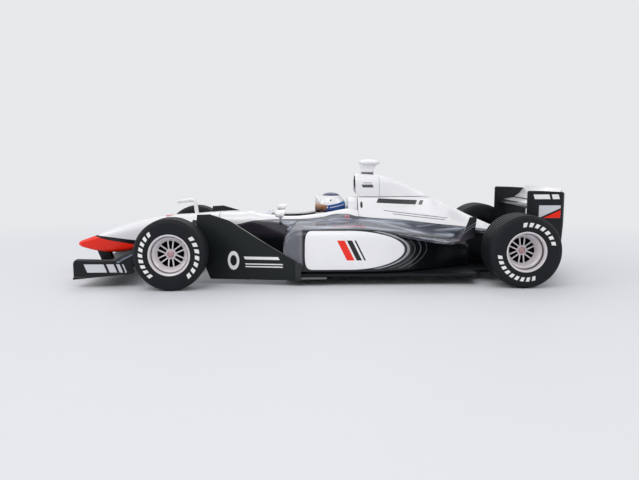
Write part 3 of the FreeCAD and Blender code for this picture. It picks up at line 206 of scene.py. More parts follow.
def steps(start, end, count):
    """Evenly spaced values from start to end."""
    return [start + (end - start) * index / count for index in range(count + 1)]


def circle(count):
    """Points (across, up) round a circle with a radius of one."""
    turns = [math.tau * step / count for step in range(count)]
    return [(math.cos(turn), math.sin(turn)) for turn in turns]


def skin(rings):
    """A closed shell through rings of points in metres, from a grid bent to them."""
    shell = bmesh.new()
    along, around = len(rings) - 1, len(rings[0])
    bmesh.ops.create_grid(shell, x_segments=along, y_segments=around, size=0.5)
    for vertex in shell.verts:
        ring = rings[round((vertex.co.x + 0.5) * along)]
        vertex.co = ring[round((vertex.co.y + 0.5) * around) % around]
    bmesh.ops.remove_doubles(shell, verts=shell.verts[:], dist=MM * 0.002)
    bmesh.ops.holes_fill(shell, edges=shell.edges[:], sides=0)
    bmesh.ops.recalc_face_normals(shell, faces=shell.faces[:])
    return shell


def lengthwise(outline, start, end):
    """A block with one outline (y, z) from one distance along the car to another."""
    return skin([[place(x, y, z) for y, z in outline] for x in (start, end)])


def add_object(name, shell):
    """A new object in the scene with the shell as its mesh."""
    mesh = bpy.data.meshes.new(name)
    shell.to_mesh(mesh)
    shell.free()
    item = bpy.data.objects.new(name, mesh)
    bpy.context.scene.collection.objects.link(item)
    return item


def piece(name, shell, paints, replaced=(), body=CHASSIS, sharp=32):
    """A finished object that rides on its body, with one paint or a tuple of paints."""
    item = add_object(name, shell)
    item.data.shade_smooth()
    item.data.set_sharp_from_angle(angle=math.radians(sharp))
    for paint in paints if isinstance(paints, tuple) else (paints,):
        item.data.materials.append(paint)
    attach(item, body)
    if replaced:
        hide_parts(*replaced)


def soften(shell, width, segments=2, angle=28):
    """Round the edges of a shell that turn by more than an angle, by a width in millimetres."""
    sharp = [edge for edge in shell.edges
             if len(edge.link_faces) == 2 and edge.calc_face_angle(0) > math.radians(angle)]
    bmesh.ops.bevel(shell, geom=sharp, offset=width * MM, offset_type="OFFSET",
                    segments=segments, profile=0.5, affect="EDGES", clamp_overlap=True,
                    material=-1)


def cut(shell, tool, paints, lip):
    """The shell less the tool's space, its new walls in the second paint and its lip rounded."""
    for face in tool.faces:
        face.material_index = 1
    base, cutter = add_object("cut_base", shell), add_object("cut_tool", tool)
    for item in (base, cutter):
        for paint in paints:
            item.data.materials.append(paint)
    opening = base.modifiers.new("opening", "BOOLEAN")
    opening.operation = "DIFFERENCE"
    opening.solver = "EXACT"
    opening.object = cutter
    bpy.context.view_layer.update()
    depsgraph = bpy.context.evaluated_depsgraph_get()
    result = bpy.data.meshes.new_from_object(base.evaluated_get(depsgraph))
    open_shell = bmesh.new()
    open_shell.from_mesh(result)
    bpy.data.meshes.remove(result)
    for item in (base, cutter):
        mesh = item.data
        bpy.data.objects.remove(item)
        bpy.data.meshes.remove(mesh)
    soften(open_shell, lip, 3, CREASE)
    return open_shell


def join(*shells):
    """One bmesh from several."""
    whole = bmesh.new()
    for shell in shells:
        mesh = bpy.data.meshes.new("joined")
        shell.to_mesh(mesh)
        shell.free()
        whole.from_mesh(mesh)
        bpy.data.meshes.remove(mesh)
    return whole


def from_cad(node):
    """A merged copy of a CAD node's mesh, with its flat faces whole."""
    shell = bmesh.new()
    shell.from_mesh(frame["nodes"][node].data)
    bmesh.ops.remove_doubles(shell, verts=shell.verts[:], dist=MM * 0.001)
    bmesh.ops.dissolve_limit(shell, angle_limit=math.radians(1.5), verts=shell.verts[:],
                             edges=shell.edges[:], use_dissolve_boundaries=False)
    return shell


def dress(node, paint, width=None):
    """A CAD node's own shape with its edges rounded as moulded plastic has them."""
    shell = from_cad(node)
    soften(shell, width or bpy.context.scene.car_sizes.edge_round / MM)
    piece(f"{node}_moulding", shell, paint, replaced=(node,))


def flip(shell):
    """Turn a shell into its twin on the other side of the car."""
    bmesh.ops.scale(shell, vec=(1, -1, 1), verts=shell.verts[:])
    bmesh.ops.reverse_faces(shell, faces=shell.faces[:])
    return shell


def tube(spots, radius, bend):
    """A round bar with smooth bends along places (x, z) on the centre plane, in millimetres."""
    path = [Vector(spots[0])]
    for back, here, ahead in zip(spots, spots[1:], spots[2:]):
        here = Vector(here)
        start = here + (Vector(back) - here).normalized() * bend
        end = here + (Vector(ahead) - here).normalized() * bend
        for t in steps(0, 1, 8):
            path.append(start * (1 - t) ** 2 + here * (2 * t * (1 - t)) + end * t * t)
    path.append(Vector(spots[-1]))
    rings = []
    for index, spot in enumerate(path):
        ahead = path[min(index + 1, len(path) - 1)] - path[max(index - 1, 0)]
        across = Vector((-ahead.y, ahead.x)).normalized()
        rings.append([place(spot.x + across.x * radius * level, radius * side,
                            spot.y + across.y * radius * level)
                      for level, side in circle(20)])
    return skin(rings)


# Materials

class Wire:
    """One output of a material's node; sums and products of wires add the nodes for them."""

    def __init__(self, tree, socket):
        self.tree = tree
        self.socket = socket

    def with_math(self, operation, *others):
        """This wire and the others through a Math node."""
        return add(self.tree, "Math", dict(enumerate((self, *others))), operation=operation)

    def __add__(self, other):
        return self.with_math("ADD", other)

    def __sub__(self, other):
        return self.with_math("SUBTRACT", other)

    def __mul__(self, other):
        return self.with_math("MULTIPLY", other)

    def __truediv__(self, other):
        return self.with_math("DIVIDE", other)

    def __neg__(self):
        return self * -1.0

    def __rsub__(self, other):
        return -self + other

    def plain(self):
        """This number without its sign."""
        return self.with_math("ABSOLUTE")

    def root(self):
        return self.with_math("SQRT")

    def wrapped(self, low, high):
        """This number brought between two limits, as an angle is."""
        return self.with_math("WRAP", high, low)

    def least(self, *others):
        """The smallest of the wires, which joins the areas inside them."""
        wire = self
        for other in others:
            wire = wire.with_math("MINIMUM", other)
        return wire

    def most(self, *others):
        """The largest of the wires, which keeps what is inside all of them."""
        wire = self
        for other in others:
            wire = wire.with_math("MAXIMUM", other)
        return wire

    def beyond(self, half, middle=0.0):
        """How far this lies past half a width, to either side of a middle."""
        return (self - middle).plain() - half

    def inside(self, soft=0.05):
        """One where this distance is below zero and nought above it, with a narrow change."""
        limits = {"Value": self, "From Min": soft / 2, "From Max": -soft / 2}
        return add(self.tree, "MapRange", limits, "Result")

    def sister(self, output):
        """Another output of the same node."""
        return Wire(self.tree, self.socket.node.outputs[output])


def feed(tree, entry, value):
    """Link a wire to a socket, or set a plain value on it."""
    if isinstance(value, Wire):
        tree.links.new(value.socket, entry)
    elif entry.type == "RGBA":
        entry.default_value = (*value[:3], 1.0)
    else:
        entry.default_value = value


def add(tree, kind, values, output=0, **choices):
    """A new node's output, with the node's choices made and its values set or linked."""
    node = tree.nodes.new(f"ShaderNode{kind}")
    for name, choice in choices.items():
        setattr(node, name, choice)
    for entry, value in values.items():
        feed(tree, node.inputs[entry], value)
    return Wire(tree, node.outputs[output])


def overlaid(tree, under, over, share):
    """One colour laid over another by a share."""
    return add(tree, "Mix", {"Factor": share, 6: under, 7: over}, 2, data_type="RGBA")


def seen_directly(tree):
    """One where the camera, a mirror or clear plastic looks at the surface."""
    camera = add(tree, "LightPath", {}, "Is Camera Ray")
    return camera.most(camera.sister("Is Glossy Ray"), camera.sister("Is Transmission Ray"))


def node_group(name, entries, exits):
    """A new group: its tree, a wire for each of its entries, and the node that it ends in."""
    tree = bpy.data.node_groups.new(name, "ShaderNodeTree")
    for label, kind, *default in entries:
        socket = tree.interface.new_socket(label, in_out="INPUT", socket_type=kind)
        if default:
            socket.default_value = default[0]
    for label, kind in exits:
        tree.interface.new_socket(label, in_out="OUTPUT", socket_type=kind)
    source = tree.nodes.new("NodeGroupInput")
    given = {label: Wire(tree, source.outputs[label]) for label, *_ in entries}
    return tree, given, tree.nodes.new("NodeGroupOutput")


@cache
def chrome_group():
    """Shared chrome: long bright streaks over its dark side, as a shiny flank mirrors a room."""
    tree, given, result = node_group(
        "Chrome streaks",
        (("Dark", "NodeSocketColor"), ("Bright", "NodeSocketColor"),
         ("Place", "NodeSocketVector")),
        (("Colour", "NodeSocketColor"),))
    stretched = add(tree, "Mapping", {"Vector": given["Place"], "Scale": (0.05, 0.30, 1.7),
                                      "Rotation": (0.0, math.radians(4.0), 0.0)})
    noise = add(tree, "TexNoise", {"Vector": stretched, "Scale": 1.0, "Detail": 2.0,
                                   "Distortion": 0.35}, "Fac")
    streaks = add(tree, "ValToRGB", {"Fac": noise})
    for stop, position in zip(streaks.socket.node.color_ramp.elements, (0.44, 0.68)):
        stop.position = position
    feed(tree, result.inputs["Colour"], overlaid(tree, given["Dark"], given["Bright"], streaks))
    return tree


@cache
def surface_group():
    """Shared finish: faint mottling, uneven gloss and fine grain, with its own scale."""
    tree, given, result = node_group(
        "Surface grain",
        (("Colour", "NodeSocketColor", (0.5, 0.5, 0.5, 1)), ("Roughness", "NodeSocketFloat", 0.4),
         ("Scale", "NodeSocketFloat", 900.0), ("Mottle", "NodeSocketFloat", 0.06),
         ("Relief", "NodeSocketFloat", 0.1)),
        (("Colour", "NodeSocketColor"), ("Roughness", "NodeSocketFloat"),
         ("Normal", "NodeSocketVector")))
    where = add(tree, "TexCoord", {}, "Object")
    fine = add(tree, "TexNoise", {"Vector": where, "Scale": given["Scale"], "Detail": 4}, "Fac")
    broad = add(tree, "TexNoise", {"Vector": where, "Scale": 55, "Detail": 3}, "Fac")
    spread = broad - 0.5
    results = {
        "Colour": add(tree, "HueSaturation", {"Color": given["Colour"],
                                              "Value": given["Mottle"] * spread * 2.0 + 1.0}),
        "Roughness": (given["Roughness"] + spread * 0.12).most(0.03),
        "Normal": add(tree, "Bump", {"Distance": 0.02 * MM, "Strength": given["Relief"],
                                     "Height": fine}),
    }
    for label, wire in results.items():
        feed(tree, result.inputs[label], wire)
    return tree


def colours():
    return bpy.context.scene.car_colours


class Paint:
    """A material whose masks are drawn in millimetres from the front axle, or another place."""

    def __init__(self, name, base, origin=None):
        self.material = bpy.data.materials.new(name)
        self.material.use_nodes = True
        self.tree = self.material.node_tree
        self.shader = self.tree.nodes["Principled BSDF"]
        start = origin or place(0, 0, 0)
        where = add(self.tree, "Mapping", {
            "Vector": add(self.tree, "TexCoord", {}, "Object"),
            "Location": tuple(-amount / MM for amount in start),
            "Scale": (1 / MM, 1 / MM, 1 / MM)})
        self.x, self.y, self.z = self.split(where)
        self.side = self.y.plain()
        self.base = base

    def split(self, vector):
        """The three numbers of a vector."""
        along = add(self.tree, "SeparateXYZ", {"Vector": vector}, "X")
        return along, along.sister("Y"), along.sister("Z")

    def layer(self, top, distance, soft=0.05, share=1.0):
        """Lay a colour over what is there, inside the line where a distance is zero."""
        mask = distance.inside(soft)
        if share != 1.0:
            mask = mask * share
        self.base = overlaid(self.tree, self.base, top, mask)
        return mask

    def chrome(self, level):
        """The chrome's colour, its painted reflection streaks drawn along lines of one level."""
        spot = add(self.tree, "CombineXYZ", {"X": self.x, "Y": self.side, "Z": level})
        return add(self.tree, "Group", {"Dark": colours().silver, "Bright": colours().shine,
                                        "Place": spot}, node_tree=chrome_group())

    def facing(self):
        """How far the surface itself faces up."""
        return self.split(add(self.tree, "NewGeometry", {}, "True Normal"))[2]

    def curve(self, across, points):
        """A height that follows a smooth curve through points (across, up) in millimetres."""
        (low_u, high_u), (low_v, high_v) = ((min(row), max(row)) for row in zip(*points))
        height = add(self.tree, "FloatCurve", {"Value": (across - low_u) / (high_u - low_u)})
        mapping = height.socket.node.mapping
        shape = mapping.curves[0]
        placed = sorted(((u - low_u) / (high_u - low_u), (v - low_v) / (high_v - low_v))
                        for u, v in points)
        while len(shape.points) < len(placed):
            shape.points.new(0.5, 0.5)
        for handle, spot in zip(shape.points, placed):
            handle.location = spot
        mapping.update()
        return height * (high_v - low_v) + low_v

    def shade(self, values):
        """Set or link the shader's values."""
        for entry, value in values.items():
            feed(self.tree, self.shader.inputs[entry], value)

    def finish(self, roughness=0.3, scale=900.0, mottle=0.05, relief=0.1, coat=0.0,
               metallic=0.0, shine=0.5):
        """Put the shared grain over the layers and set the shader."""
        grain = add(self.tree, "Group", {"Colour": self.base, "Roughness": roughness,
                                         "Scale": scale, "Mottle": mottle, "Relief": relief},
                    node_tree=surface_group())
        self.shade({
            "Base Color": grain.sister("Colour"), "Roughness": grain.sister("Roughness"),
            "Normal": grain.sister("Normal"), "Metallic": metallic, "Coat Weight": coat,
            "Coat Roughness": 0.05, "Specular IOR Level": shine})
        return self.material


def bar(u, v, middle_u, middle_v, half_u, half_v, slant=0.0):
    """How far a point lies outside a straight or slanted bar."""
    across = (u - middle_u) - (v - middle_v) * slant
    return across.beyond(half_u).most(v.beyond(half_v, middle_v))


def oval(u, v, middle_u, middle_v, half_u, half_v):
    """How far a point lies outside an oval, near enough."""
    wide = (u - middle_u) / half_u
    tall = (v - middle_v) / half_v
    return ((wide * wide + tall * tall).root() - 1.0) * min(half_u, half_v)


def row_of_bars(u, v, start_u, end_u, count, middle_v, half_v, fill, slant=0.0):
    """How far a point lies outside a row of equal bars between two places."""
    half = (end_u - start_u) / 2
    pitch = 2 * half / count
    across = u - (v - middle_v) * slant - start_u
    inner = across.wrapped(0.0, pitch) - pitch / 2
    return inner.beyond(pitch * fill / 2).most(v.beyond(half_v, middle_v),
                                               across.beyond(half, half))


# Tones and finishes that more than one paint has.
# The near black of hollows is painted shade.
HOLLOW_SHADE = (0.003, 0.003, 0.0035)
SEAM_DARK = (0.02, 0.02, 0.024)
# A grey line of painted shade along the crest of the cover and the airbox.
SPINE_SHADE = (0.20, 0.20, 0.23)
SIGN_GREY = (0.62, 0.63, 0.66)
GLOSS = {"roughness": 0.28, "mottle": 0.03, "coat": 0.6}
DEEP_GLOSS = {"roughness": 0.25, "mottle": 0.03, "coat": 0.7}
SATIN = {"scale": 2200, "mottle": 0.15, "relief": 0.15}
PLATE_SATIN = {"roughness": 0.36, "shine": 0.24, **SATIN}


@cache
def gloss_white():
    return Paint("gloss_white_finish", colours().white).finish(**GLOSS)


@cache
def satin_black():
    return Paint("satin_black_finish", colours().black).finish(
        roughness=0.45, scale=2200, mottle=0.2, relief=0.2, shine=0.2)

# Near black painted shade for the insides of openings, the depth of the rims and the uprights.

@cache
def hollow_shade_black():
    return Paint("hollow_black_finish", HOLLOW_SHADE).finish(roughness=0.9, mottle=0.1, shine=0.1)


@cache
def cockpit_paint():
    """A well darkened with painted shade, with a white rim under the tub's top edge."""
    paint = Paint("cockpit_paint_finish", HOLLOW_SHADE)
    edge = paint.curve(paint.x, ((-19.0, 13.9), (-25.0, 13.7), (-31.0, 14.35), (-37.5, 15.25)))
    paint.layer(colours().white, -(paint.z - edge + 0.32))
    return paint.finish(roughness=0.6, shine=0.2)


@cache
def axle_steel():
    return Paint("axle_steel_finish", colours().steel).finish(
        roughness=0.38, scale=3000, mottle=0.2, relief=0.3, metallic=1.0)


@cache
def nut_metal():
    return Paint("nut_metal_finish", colours().nut).finish(
        roughness=0.34, mottle=0.1, metallic=0.2, coat=0.3)


def shadow_footed(name, foot, below, soft):
    """Gloss white with painted shadow darkening its foot below a height."""
    paint = Paint(name, colours().white)
    paint.layer(foot, paint.z - below, soft)
    return paint.finish(**GLOSS)


# The stalk's dark foot is painted shadow.
@cache
def mirror_paint():
    return shadow_footed("mirror_paint_finish", (0.10, 0.10, 0.11), 12.5, 0.7)


# The stem's dark foot is painted shadow where it meets the airbox.
@cache
def camera_pod_paint():
    return shadow_footed("camera_pod_paint_finish", (0.06, 0.06, 0.065), 23.35, 0.3)


@cache
def mirror_glass():
    return Paint("mirror_glass_finish", (0.42, 0.44, 0.48)).finish(
        roughness=0.08, mottle=0.03, relief=0.02, metallic=1.0)


@cache
def dark_cloth():
    return Paint("dark_cloth_finish", (0.03, 0.033, 0.04)).finish(
        roughness=0.7, scale=3600, mottle=0.3, relief=0.5)


@cache
def lamp_red():
    paint = Paint("lamp_red_finish", colours().lamp)
    ribs = row_of_bars(paint.y, paint.z, -1.0, 1.0, 6, 8.2, 1.0, fill=0.25)
    paint.layer((0.25, 0.005, 0.005), ribs)
    return paint.finish(roughness=0.15, coat=0.8)


@cache
def smoked_clear():
    paint = Paint("smoked_clear_finish", (0.93, 0.95, 0.98))
    paint.shade({"Transmission Weight": 0.96, "IOR": 1.2})
    return paint.finish(roughness=0.04, mottle=0.02, relief=0.01, coat=0.2)


# The line on the car's side between white above and silver or black below.
WHITE_LINE = (
    (-8.0, 10.6), (-12.7, 11.9), (-18.8, 12.9), (-26.0, 13.0), (-31.0, 13.5), (-35.6, 14.2),
    (-38.5, 13.7), (-43.8, 13.1), (-52.8, 12.2), (-61.8, 11.2), (-70.6, 10.0),
)


def two_tone(name):
    """White above the side line and chrome with painted reflections below it, and how far above the
    line a point lies.
    """
    paint = Paint(name, colours().white)
    rise = paint.z - paint.curve(paint.x, WHITE_LINE)
    paint.layer(paint.chrome(rise), rise)
    return paint, rise


@cache
def nose_paint():
    """White, black and red below, with a red patch behind the tip and a seam at the tub."""
    paint = Paint("nose_paint_finish", colours().white)
    x, z = paint.x, paint.z
    wedge = paint.curve(x, ((-8.3, 7.6), (0.0, 7.7), (6.0, 7.85), (10.9, 8.15), (16.0, 8.72),
                            (20.6, 9.25), (24.3, 9.8)))
    belly = paint.layer(colours().black, z - wedge)
    edge = paint.curve(x, ((9.0, 6.75), (11.0, 7.12), (14.5, 7.68), (17.3, 8.14), (20.1, 8.9),
                           (24.4, 10.3)))
    flank = (z - edge).most((14.2 - x).least(oval(x, z, 14.2, 6.3, 3.5, 1.5)))
    chin = paint.layer(colours().red, flank)
    patch = paint.layer((0.55, 0.010, 0.016),
                        oval(x, paint.y, 3.6, 0.0, 1.0, 2.3).most(12.6 - z))
    paint.layer((0.25, 0.25, 0.27), x.beyond(0.06, -8.1))
    coat = 0.7 - chin.most(belly, patch) * 0.65
    return paint.finish(roughness=0.25, mottle=0.03, coat=coat, shine=0.35)


@cache
def tub_paint():
    """Two tones with a smoke grey leaf in front, a small red frame and a black keel."""
    paint, rise = two_tone("tub_paint_finish")
    x, z = paint.x, paint.z
    leaf = z - paint.curve(x, ((-8.0, 10.0), (-12.7, 11.85), (-16.0, 12.6), (-20.5, 12.45),
                               (-24.5, 10.9), (-30.0, 8.0)))
    paint.layer(colours().smoke, leaf)
    paint.layer(SEAM_DARK, rise.beyond(0.06))
    paint.layer((0.16, 0.15, 0.16), leaf.beyond(0.05, -0.2), share=0.8)
    frame_line = bar(x, z, -36.5, 13.62, 0.5, 0.36).most(-bar(x, z, -36.5, 13.62, 0.12, 0.36))
    paint.layer((0.62, 0.16, 0.19), frame_line, share=0.9)
    paint.layer(colours().black, z - 9.4, soft=1.6)
    return paint.finish(roughness=0.2, coat=0.6)


@cache
def cover_paint():
    """Two tones with two slanted bars, two thin falling lines, a vent and a grey line of painted
    shade along its spine.
    """
    paint, rise = two_tone("cover_paint_finish")
    x, z = paint.x, paint.z
    paint.layer(SEAM_DARK, rise.beyond(0.07))
    level = z - (x + 48.8) * 0.05
    bars = [bar(x, level, middle, 16.75, half, 0.5, slant=-0.5)
            for middle, half in ((-48.0, 4.5), (-53.6, 0.45))]
    paint.layer(colours().black, bars[0].least(bars[1]))
    fall = z - (x + 52.0) * 0.13
    lines = [bar(x, fall, middle, height, half, 0.07)
             for middle, height, half in ((-52.4, 13.95, 7.6), (-53.0, 13.5, 6.2))]
    paint.layer((0.10, 0.10, 0.12), lines[0].least(lines[1]))
    paint.layer((0.008, 0.008, 0.01), oval(x, z, -39.85, 16.1, 0.30, 0.72))
    paint.layer(SPINE_SHADE, paint.y.beyond(0.14).most(x + 46.0))
    return paint.finish(**DEEP_GLOSS)


@cache
def airbox_paint():
    """White with a slanted block under a line on each side, a seam across it, and a line of painted
    shade along its spine.
    """
    paint = Paint("airbox_paint_finish", colours().white)
    x, z = paint.x, paint.z
    block = bar(x, z, -41.35, 20.25, 1.25, 0.34, slant=0.4)
    over = bar(x, z, -41.35, 20.95, 1.0, 0.06)
    paint.layer((0.05, 0.05, 0.06), block.least(over).most(1.2 - paint.side))
    paint.layer((0.22, 0.22, 0.25), x.beyond(0.05, -44.0))
    paint.layer(SPINE_SHADE, paint.y.beyond(0.14).most(x + 43.8, 21.0 - z))
    return paint.finish(**DEEP_GLOSS)


@cache
def pod_paint():
    """Black flank with a white panel and stripes, rings round it, and a chrome crown with painted
    reflections.
    """
    paint = Paint("pod_paint_finish", colours().black)
    x, z = paint.x, paint.z
    shoulder = paint.curve(x, ((-22.0, 10.6), (-30.0, 11.75), (-38.0, 11.85), (-45.0, 11.2),
                               (-50.0, 10.4), (-56.0, 9.5), (-64.5, 8.3)))
    top = z - shoulder
    paint.layer(paint.chrome(top), -top, soft=0.25)
    inboard = 10.5 - paint.side

    # The panel: its front is a rounded square and its rear half an oval.
    middle, half_height = 7.4, 4.05
    height = (z - middle) / half_height
    astern = (-36.0 - x).most(0.0) / 12.0
    rear = ((astern * astern + height * height).root() - 1.0) * half_height
    ahead = (x + 29.2).most(0.0) / 2.2
    ahead_square, height_square = ahead * ahead, height * height
    square = (ahead_square * ahead_square + height_square * height_square).root().root()
    panel = rear.most((square - 1.0) * 2.2)
    for low, high, tone in ((0.22, 0.42, 0.34), (0.78, 0.88, 0.10), (1.25, 1.35, 0.16),
                            (1.75, 1.83, 0.12)):
        ring = rear.beyond((high - low) / 2, (low + high) / 2)
        ends = (x + 42.0 - low * 5.0).most(z.beyond(3.9, middle), top + 0.15)
        paint.layer((tone, tone, tone * 1.08), ring.most(ends, inboard))
    paint.layer(colours().white, panel.most(inboard))

    # Three slanted stripes on the panel.
    black, thin, bright = (bar(x, z, station, middle, half, 2.1, slant=0.5)
                           for station, half in ((-37.3, 0.55), (-38.5, 0.18), (-35.5, 0.8)))
    paint.layer(colours().black, black.least(thin).most(inboard))
    paint.layer(colours().red, bright.most(inboard))

    # The intake's lip with its thin bright line, the seam behind it and a mark on the crown.
    lip = oval(x, z, -26.5, 8.3, 4.6, 3.9).most(-(x + 26.5), inboard)
    paint.layer(colours().lip, lip)
    paint.layer((0.24, 0.25, 0.28), lip.beyond(0.06, -0.5).most(-(x + 26.8), inboard))
    paint.layer((0.002, 0.002, 0.002), x.beyond(0.16, -26.75).most(top))
    mark = bar(x, top, -36.2, 0.42, 3.6, 0.2).most(inboard + 1.5)
    paint.layer((0.55, 0.12, 0.16), mark, soft=0.1, share=0.85)
    return paint.finish(roughness=0.22, mottle=0.08, coat=0.15, shine=0.4)


@cache
def flip_paint():
    """Smoke grey, chrome with painted reflections on top in front, black higher up, with two thin
    lines of painted reflection at the bend.
    """
    paint = Paint("flip_paint_finish", colours().smoke)
    x, z = paint.x, paint.z
    bend = paint.curve(x, ((-52.0, 8.2), (-56.0, 8.6), (-58.5, 9.5), (-60.5, 10.9),
                           (-62.5, 12.3), (-65.0, 13.6)))
    shelf = (0.35 - paint.facing()).most(-(x + 58.0))
    paint.layer(paint.chrome(z - bend), shelf, soft=1.2)
    paint.layer(colours().black, 10.6 - z, soft=1.6)
    # Two thin painted reflections along the bend.
    for rise in (0.0, 0.55):
        line = (z - bend - rise).beyond(0.05)
        paint.layer((0.30, 0.30, 0.34), line.most(x + 54.0), share=0.8)
    return paint.finish(mottle=0.1, shine=0.25)


@cache
def board_paint():
    """Satin black with a ring, slanted bars, a lit top edge and a paler flange behind."""
    paint = Paint("board_paint_finish", (0.0095, 0.0125, 0.0135))
    x, z = paint.x, paint.z
    outside = -(paint.side - 11.8 + x * 0.1469 - 0.15)
    ring = oval(x, z, -12.1, 5.2, 0.95, 1.55).beyond(0.26)
    paint.layer(colours().mark, ring.most(outside))
    upper, lower, last = (bar(x, z, middle, height, half, half_height, slant=0.5)
                          for middle, height, half, half_height in (
                              (-18.0, 5.75, 3.6, 0.30), (-18.5, 4.5, 3.9, 0.12),
                              (-18.5, 3.95, 3.9, 0.12)))
    paint.layer(colours().mark, upper.least(lower, last).most(outside))
    top = paint.curve(x, ((-4.0, 14.62), (-7.3, 14.8), (-9.5, 14.3), (-11.7, 13.42),
                          (-13.4, 12.35), (-19.6, 8.55), (-26.3, 4.7)))
    paint.layer((0.26, 0.25, 0.23), (z - top).beyond(0.05, -0.1).most(x + 9.5))
    paint.layer((0.028, 0.030, 0.031), x.beyond(0.62, -25.65))
    paint.layer((0.13, 0.14, 0.14), (x + 26.2).most(z - 2.1))
    return paint.finish(roughness=0.42, shine=0.22, **SATIN)


@cache
def front_plate_paint():
    """Satin black with a row of slanted blocks outside, and thin lines along the plate: the upper
    thin one and a wider bluish one towards the rear are painted highlights.
    """
    paint = Paint("front_plate_paint_finish", colours().black)
    x, z = paint.x, paint.z
    blocks = [bar(x, z, middle, 3.95, half, 0.85, slant=0.4)
              for middle, half in ((15.9, 2.0), (12.6, 0.75), (11.0, 0.35), (10.0, 0.14))]
    paint.layer(SIGN_GREY, blocks[0].least(*blocks[1:]).most(15.8 - paint.side))
    # A thin painted highlight along the plate, brighter and wider towards the rear.
    line = z - paint.curve(x, ((8.0, 7.6), (10.2, 6.5), (12.0, 5.75), (20.6, 5.85))) + 0.12
    paint.layer((0.12, 0.125, 0.14), line.beyond(0.05))
    paint.layer((0.24, 0.27, 0.34), line.beyond(0.16, -0.5).most(x - 11.6), soft=0.15,
                share=0.8)
    low = z - paint.curve(x, ((7.8, 2.85), (13.0, 2.35), (20.6, 2.2)))
    paint.layer((0.06, 0.06, 0.07), low.beyond(0.04))
    return paint.finish(**PLATE_SATIN)


@cache
def flap_paint():
    paint = Paint("flap_paint_finish", colours().black)
    # Faces that look up are lighter: a painted highlight.
    paint.layer((0.26, 0.28, 0.33), 0.1 - paint.facing())
    return paint.finish(scale=2200, mottle=0.15, shine=0.3)


@cache
def rear_plate_paint():
    """Satin black with two slanted blocks, a two-coloured panel, a ring and pale edges."""
    paint = Paint("rear_plate_paint_finish", colours().black)
    x, z = paint.x, paint.z
    outside = 11.3 - paint.side
    long, short = (bar(x, z, middle, 18.3, half, 0.5, slant=0.3)
                   for middle, half in ((-77.9, 1.7), (-80.9, 0.75)))
    paint.layer(colours().mark, long.least(short).most(outside))
    panel = bar(x, z, -79.7, 15.1, 2.35, 1.35).most(outside)
    slope = (z - 14.6) - (x + 79.7) * -0.45
    paint.layer(SIGN_GREY, panel)
    paint.layer(colours().red, panel.most(slope))
    paint.layer(colours().black, panel.most(slope.beyond(0.22)))
    paint.layer((0.3, 0.31, 0.32), oval(x, z, -81.2, 9.8, 0.42, 0.42).beyond(0.1).most(outside))
    paint.layer((0.07, 0.072, 0.078), x + 82.5)
    paint.layer((0.5, 0.5, 0.52), 19.55 - z)
    return paint.finish(**PLATE_SATIN)


@cache
def rear_wing_paint():
    paint = Paint("rear_wing_paint_finish", colours().black)
    paint.layer(colours().white, (0.12 - paint.facing()).most(paint.x + 77.0))
    return paint.finish(roughness=0.28, mottle=0.04, coat=0.5)


@cache
def rear_chassis_paint():
    paint = Paint("rear_chassis_paint_finish", colours().black)
    # Chrome with painted reflection streaks on the shoulders.
    shoulders = (9.0 - paint.z).most(-(paint.x + 66.0), 2.0 - paint.side)
    paint.layer(paint.chrome(paint.z), shoulders)
    paint.layer((0.05, 0.052, 0.06), paint.x + 74.0)
    return paint.finish(roughness=0.4, scale=2200, mottle=0.15, relief=0.2, shine=0.25)


def wheel_paint(name, end, base):
    """A paint centred on an axle, with a point's radius and its distance outwards along it."""
    axle = JOINTS[f"{end}_left_spin"]
    paint = Paint(name, base, origin=Vector((axle.x, 0, axle.z)))
    radius = (paint.x * paint.x + paint.z * paint.z).root()
    return paint, radius, paint.side - abs(axle.y) / MM


@cache
def tyre_paint(end):
    """Rubber with plain white strokes round the sidewall in two groups."""
    paint, radius, out = wheel_paint(f"{end}_rubber", end, colours().rubber)
    angle = paint.z.with_math("ARCTAN2", paint.x) * (180 / math.pi)
    for start, stop, count in WHEELS[end].marks:
        turn = angle.wrapped(start - 60.0, start + 300.0)
        blocks = row_of_bars(turn, (radius - 5.6) * 10.0, start, stop, count, 0.0, 4.3,
                             fill=0.6, slant=0.3)
        paint.layer(colours().mark, blocks, soft=0.6, share=(-out).inside())
    paint.layer((0.02, 0.022, 0.026), radius.beyond(0.04, 6.62), share=0.5)
    return paint.finish(roughness=0.55, scale=1800, mottle=0.2, relief=0.3, shine=0.2)


@cache
def rim_paint(end):
    """Silver in front of the wheel's face and black painted shade in the depth of its barrel."""
    paint, radius, out = wheel_paint(f"{end}_rim_metal", end, colours().rim)
    wheel = WHEELS[end]
    face = wheel.width / 2 - RIM_INSET - wheel.dish
    paint.layer((0.004, 0.004, 0.005), out - (face - 0.16), soft=0.1)
    # A thin dark ring of painted shade in a groove.
    paint.layer((0.05, 0.045, 0.05), radius.beyond(0.07, 3.62))
    return paint.finish(scale=2600, mottle=0.08, coat=0.3, metallic=0.25)


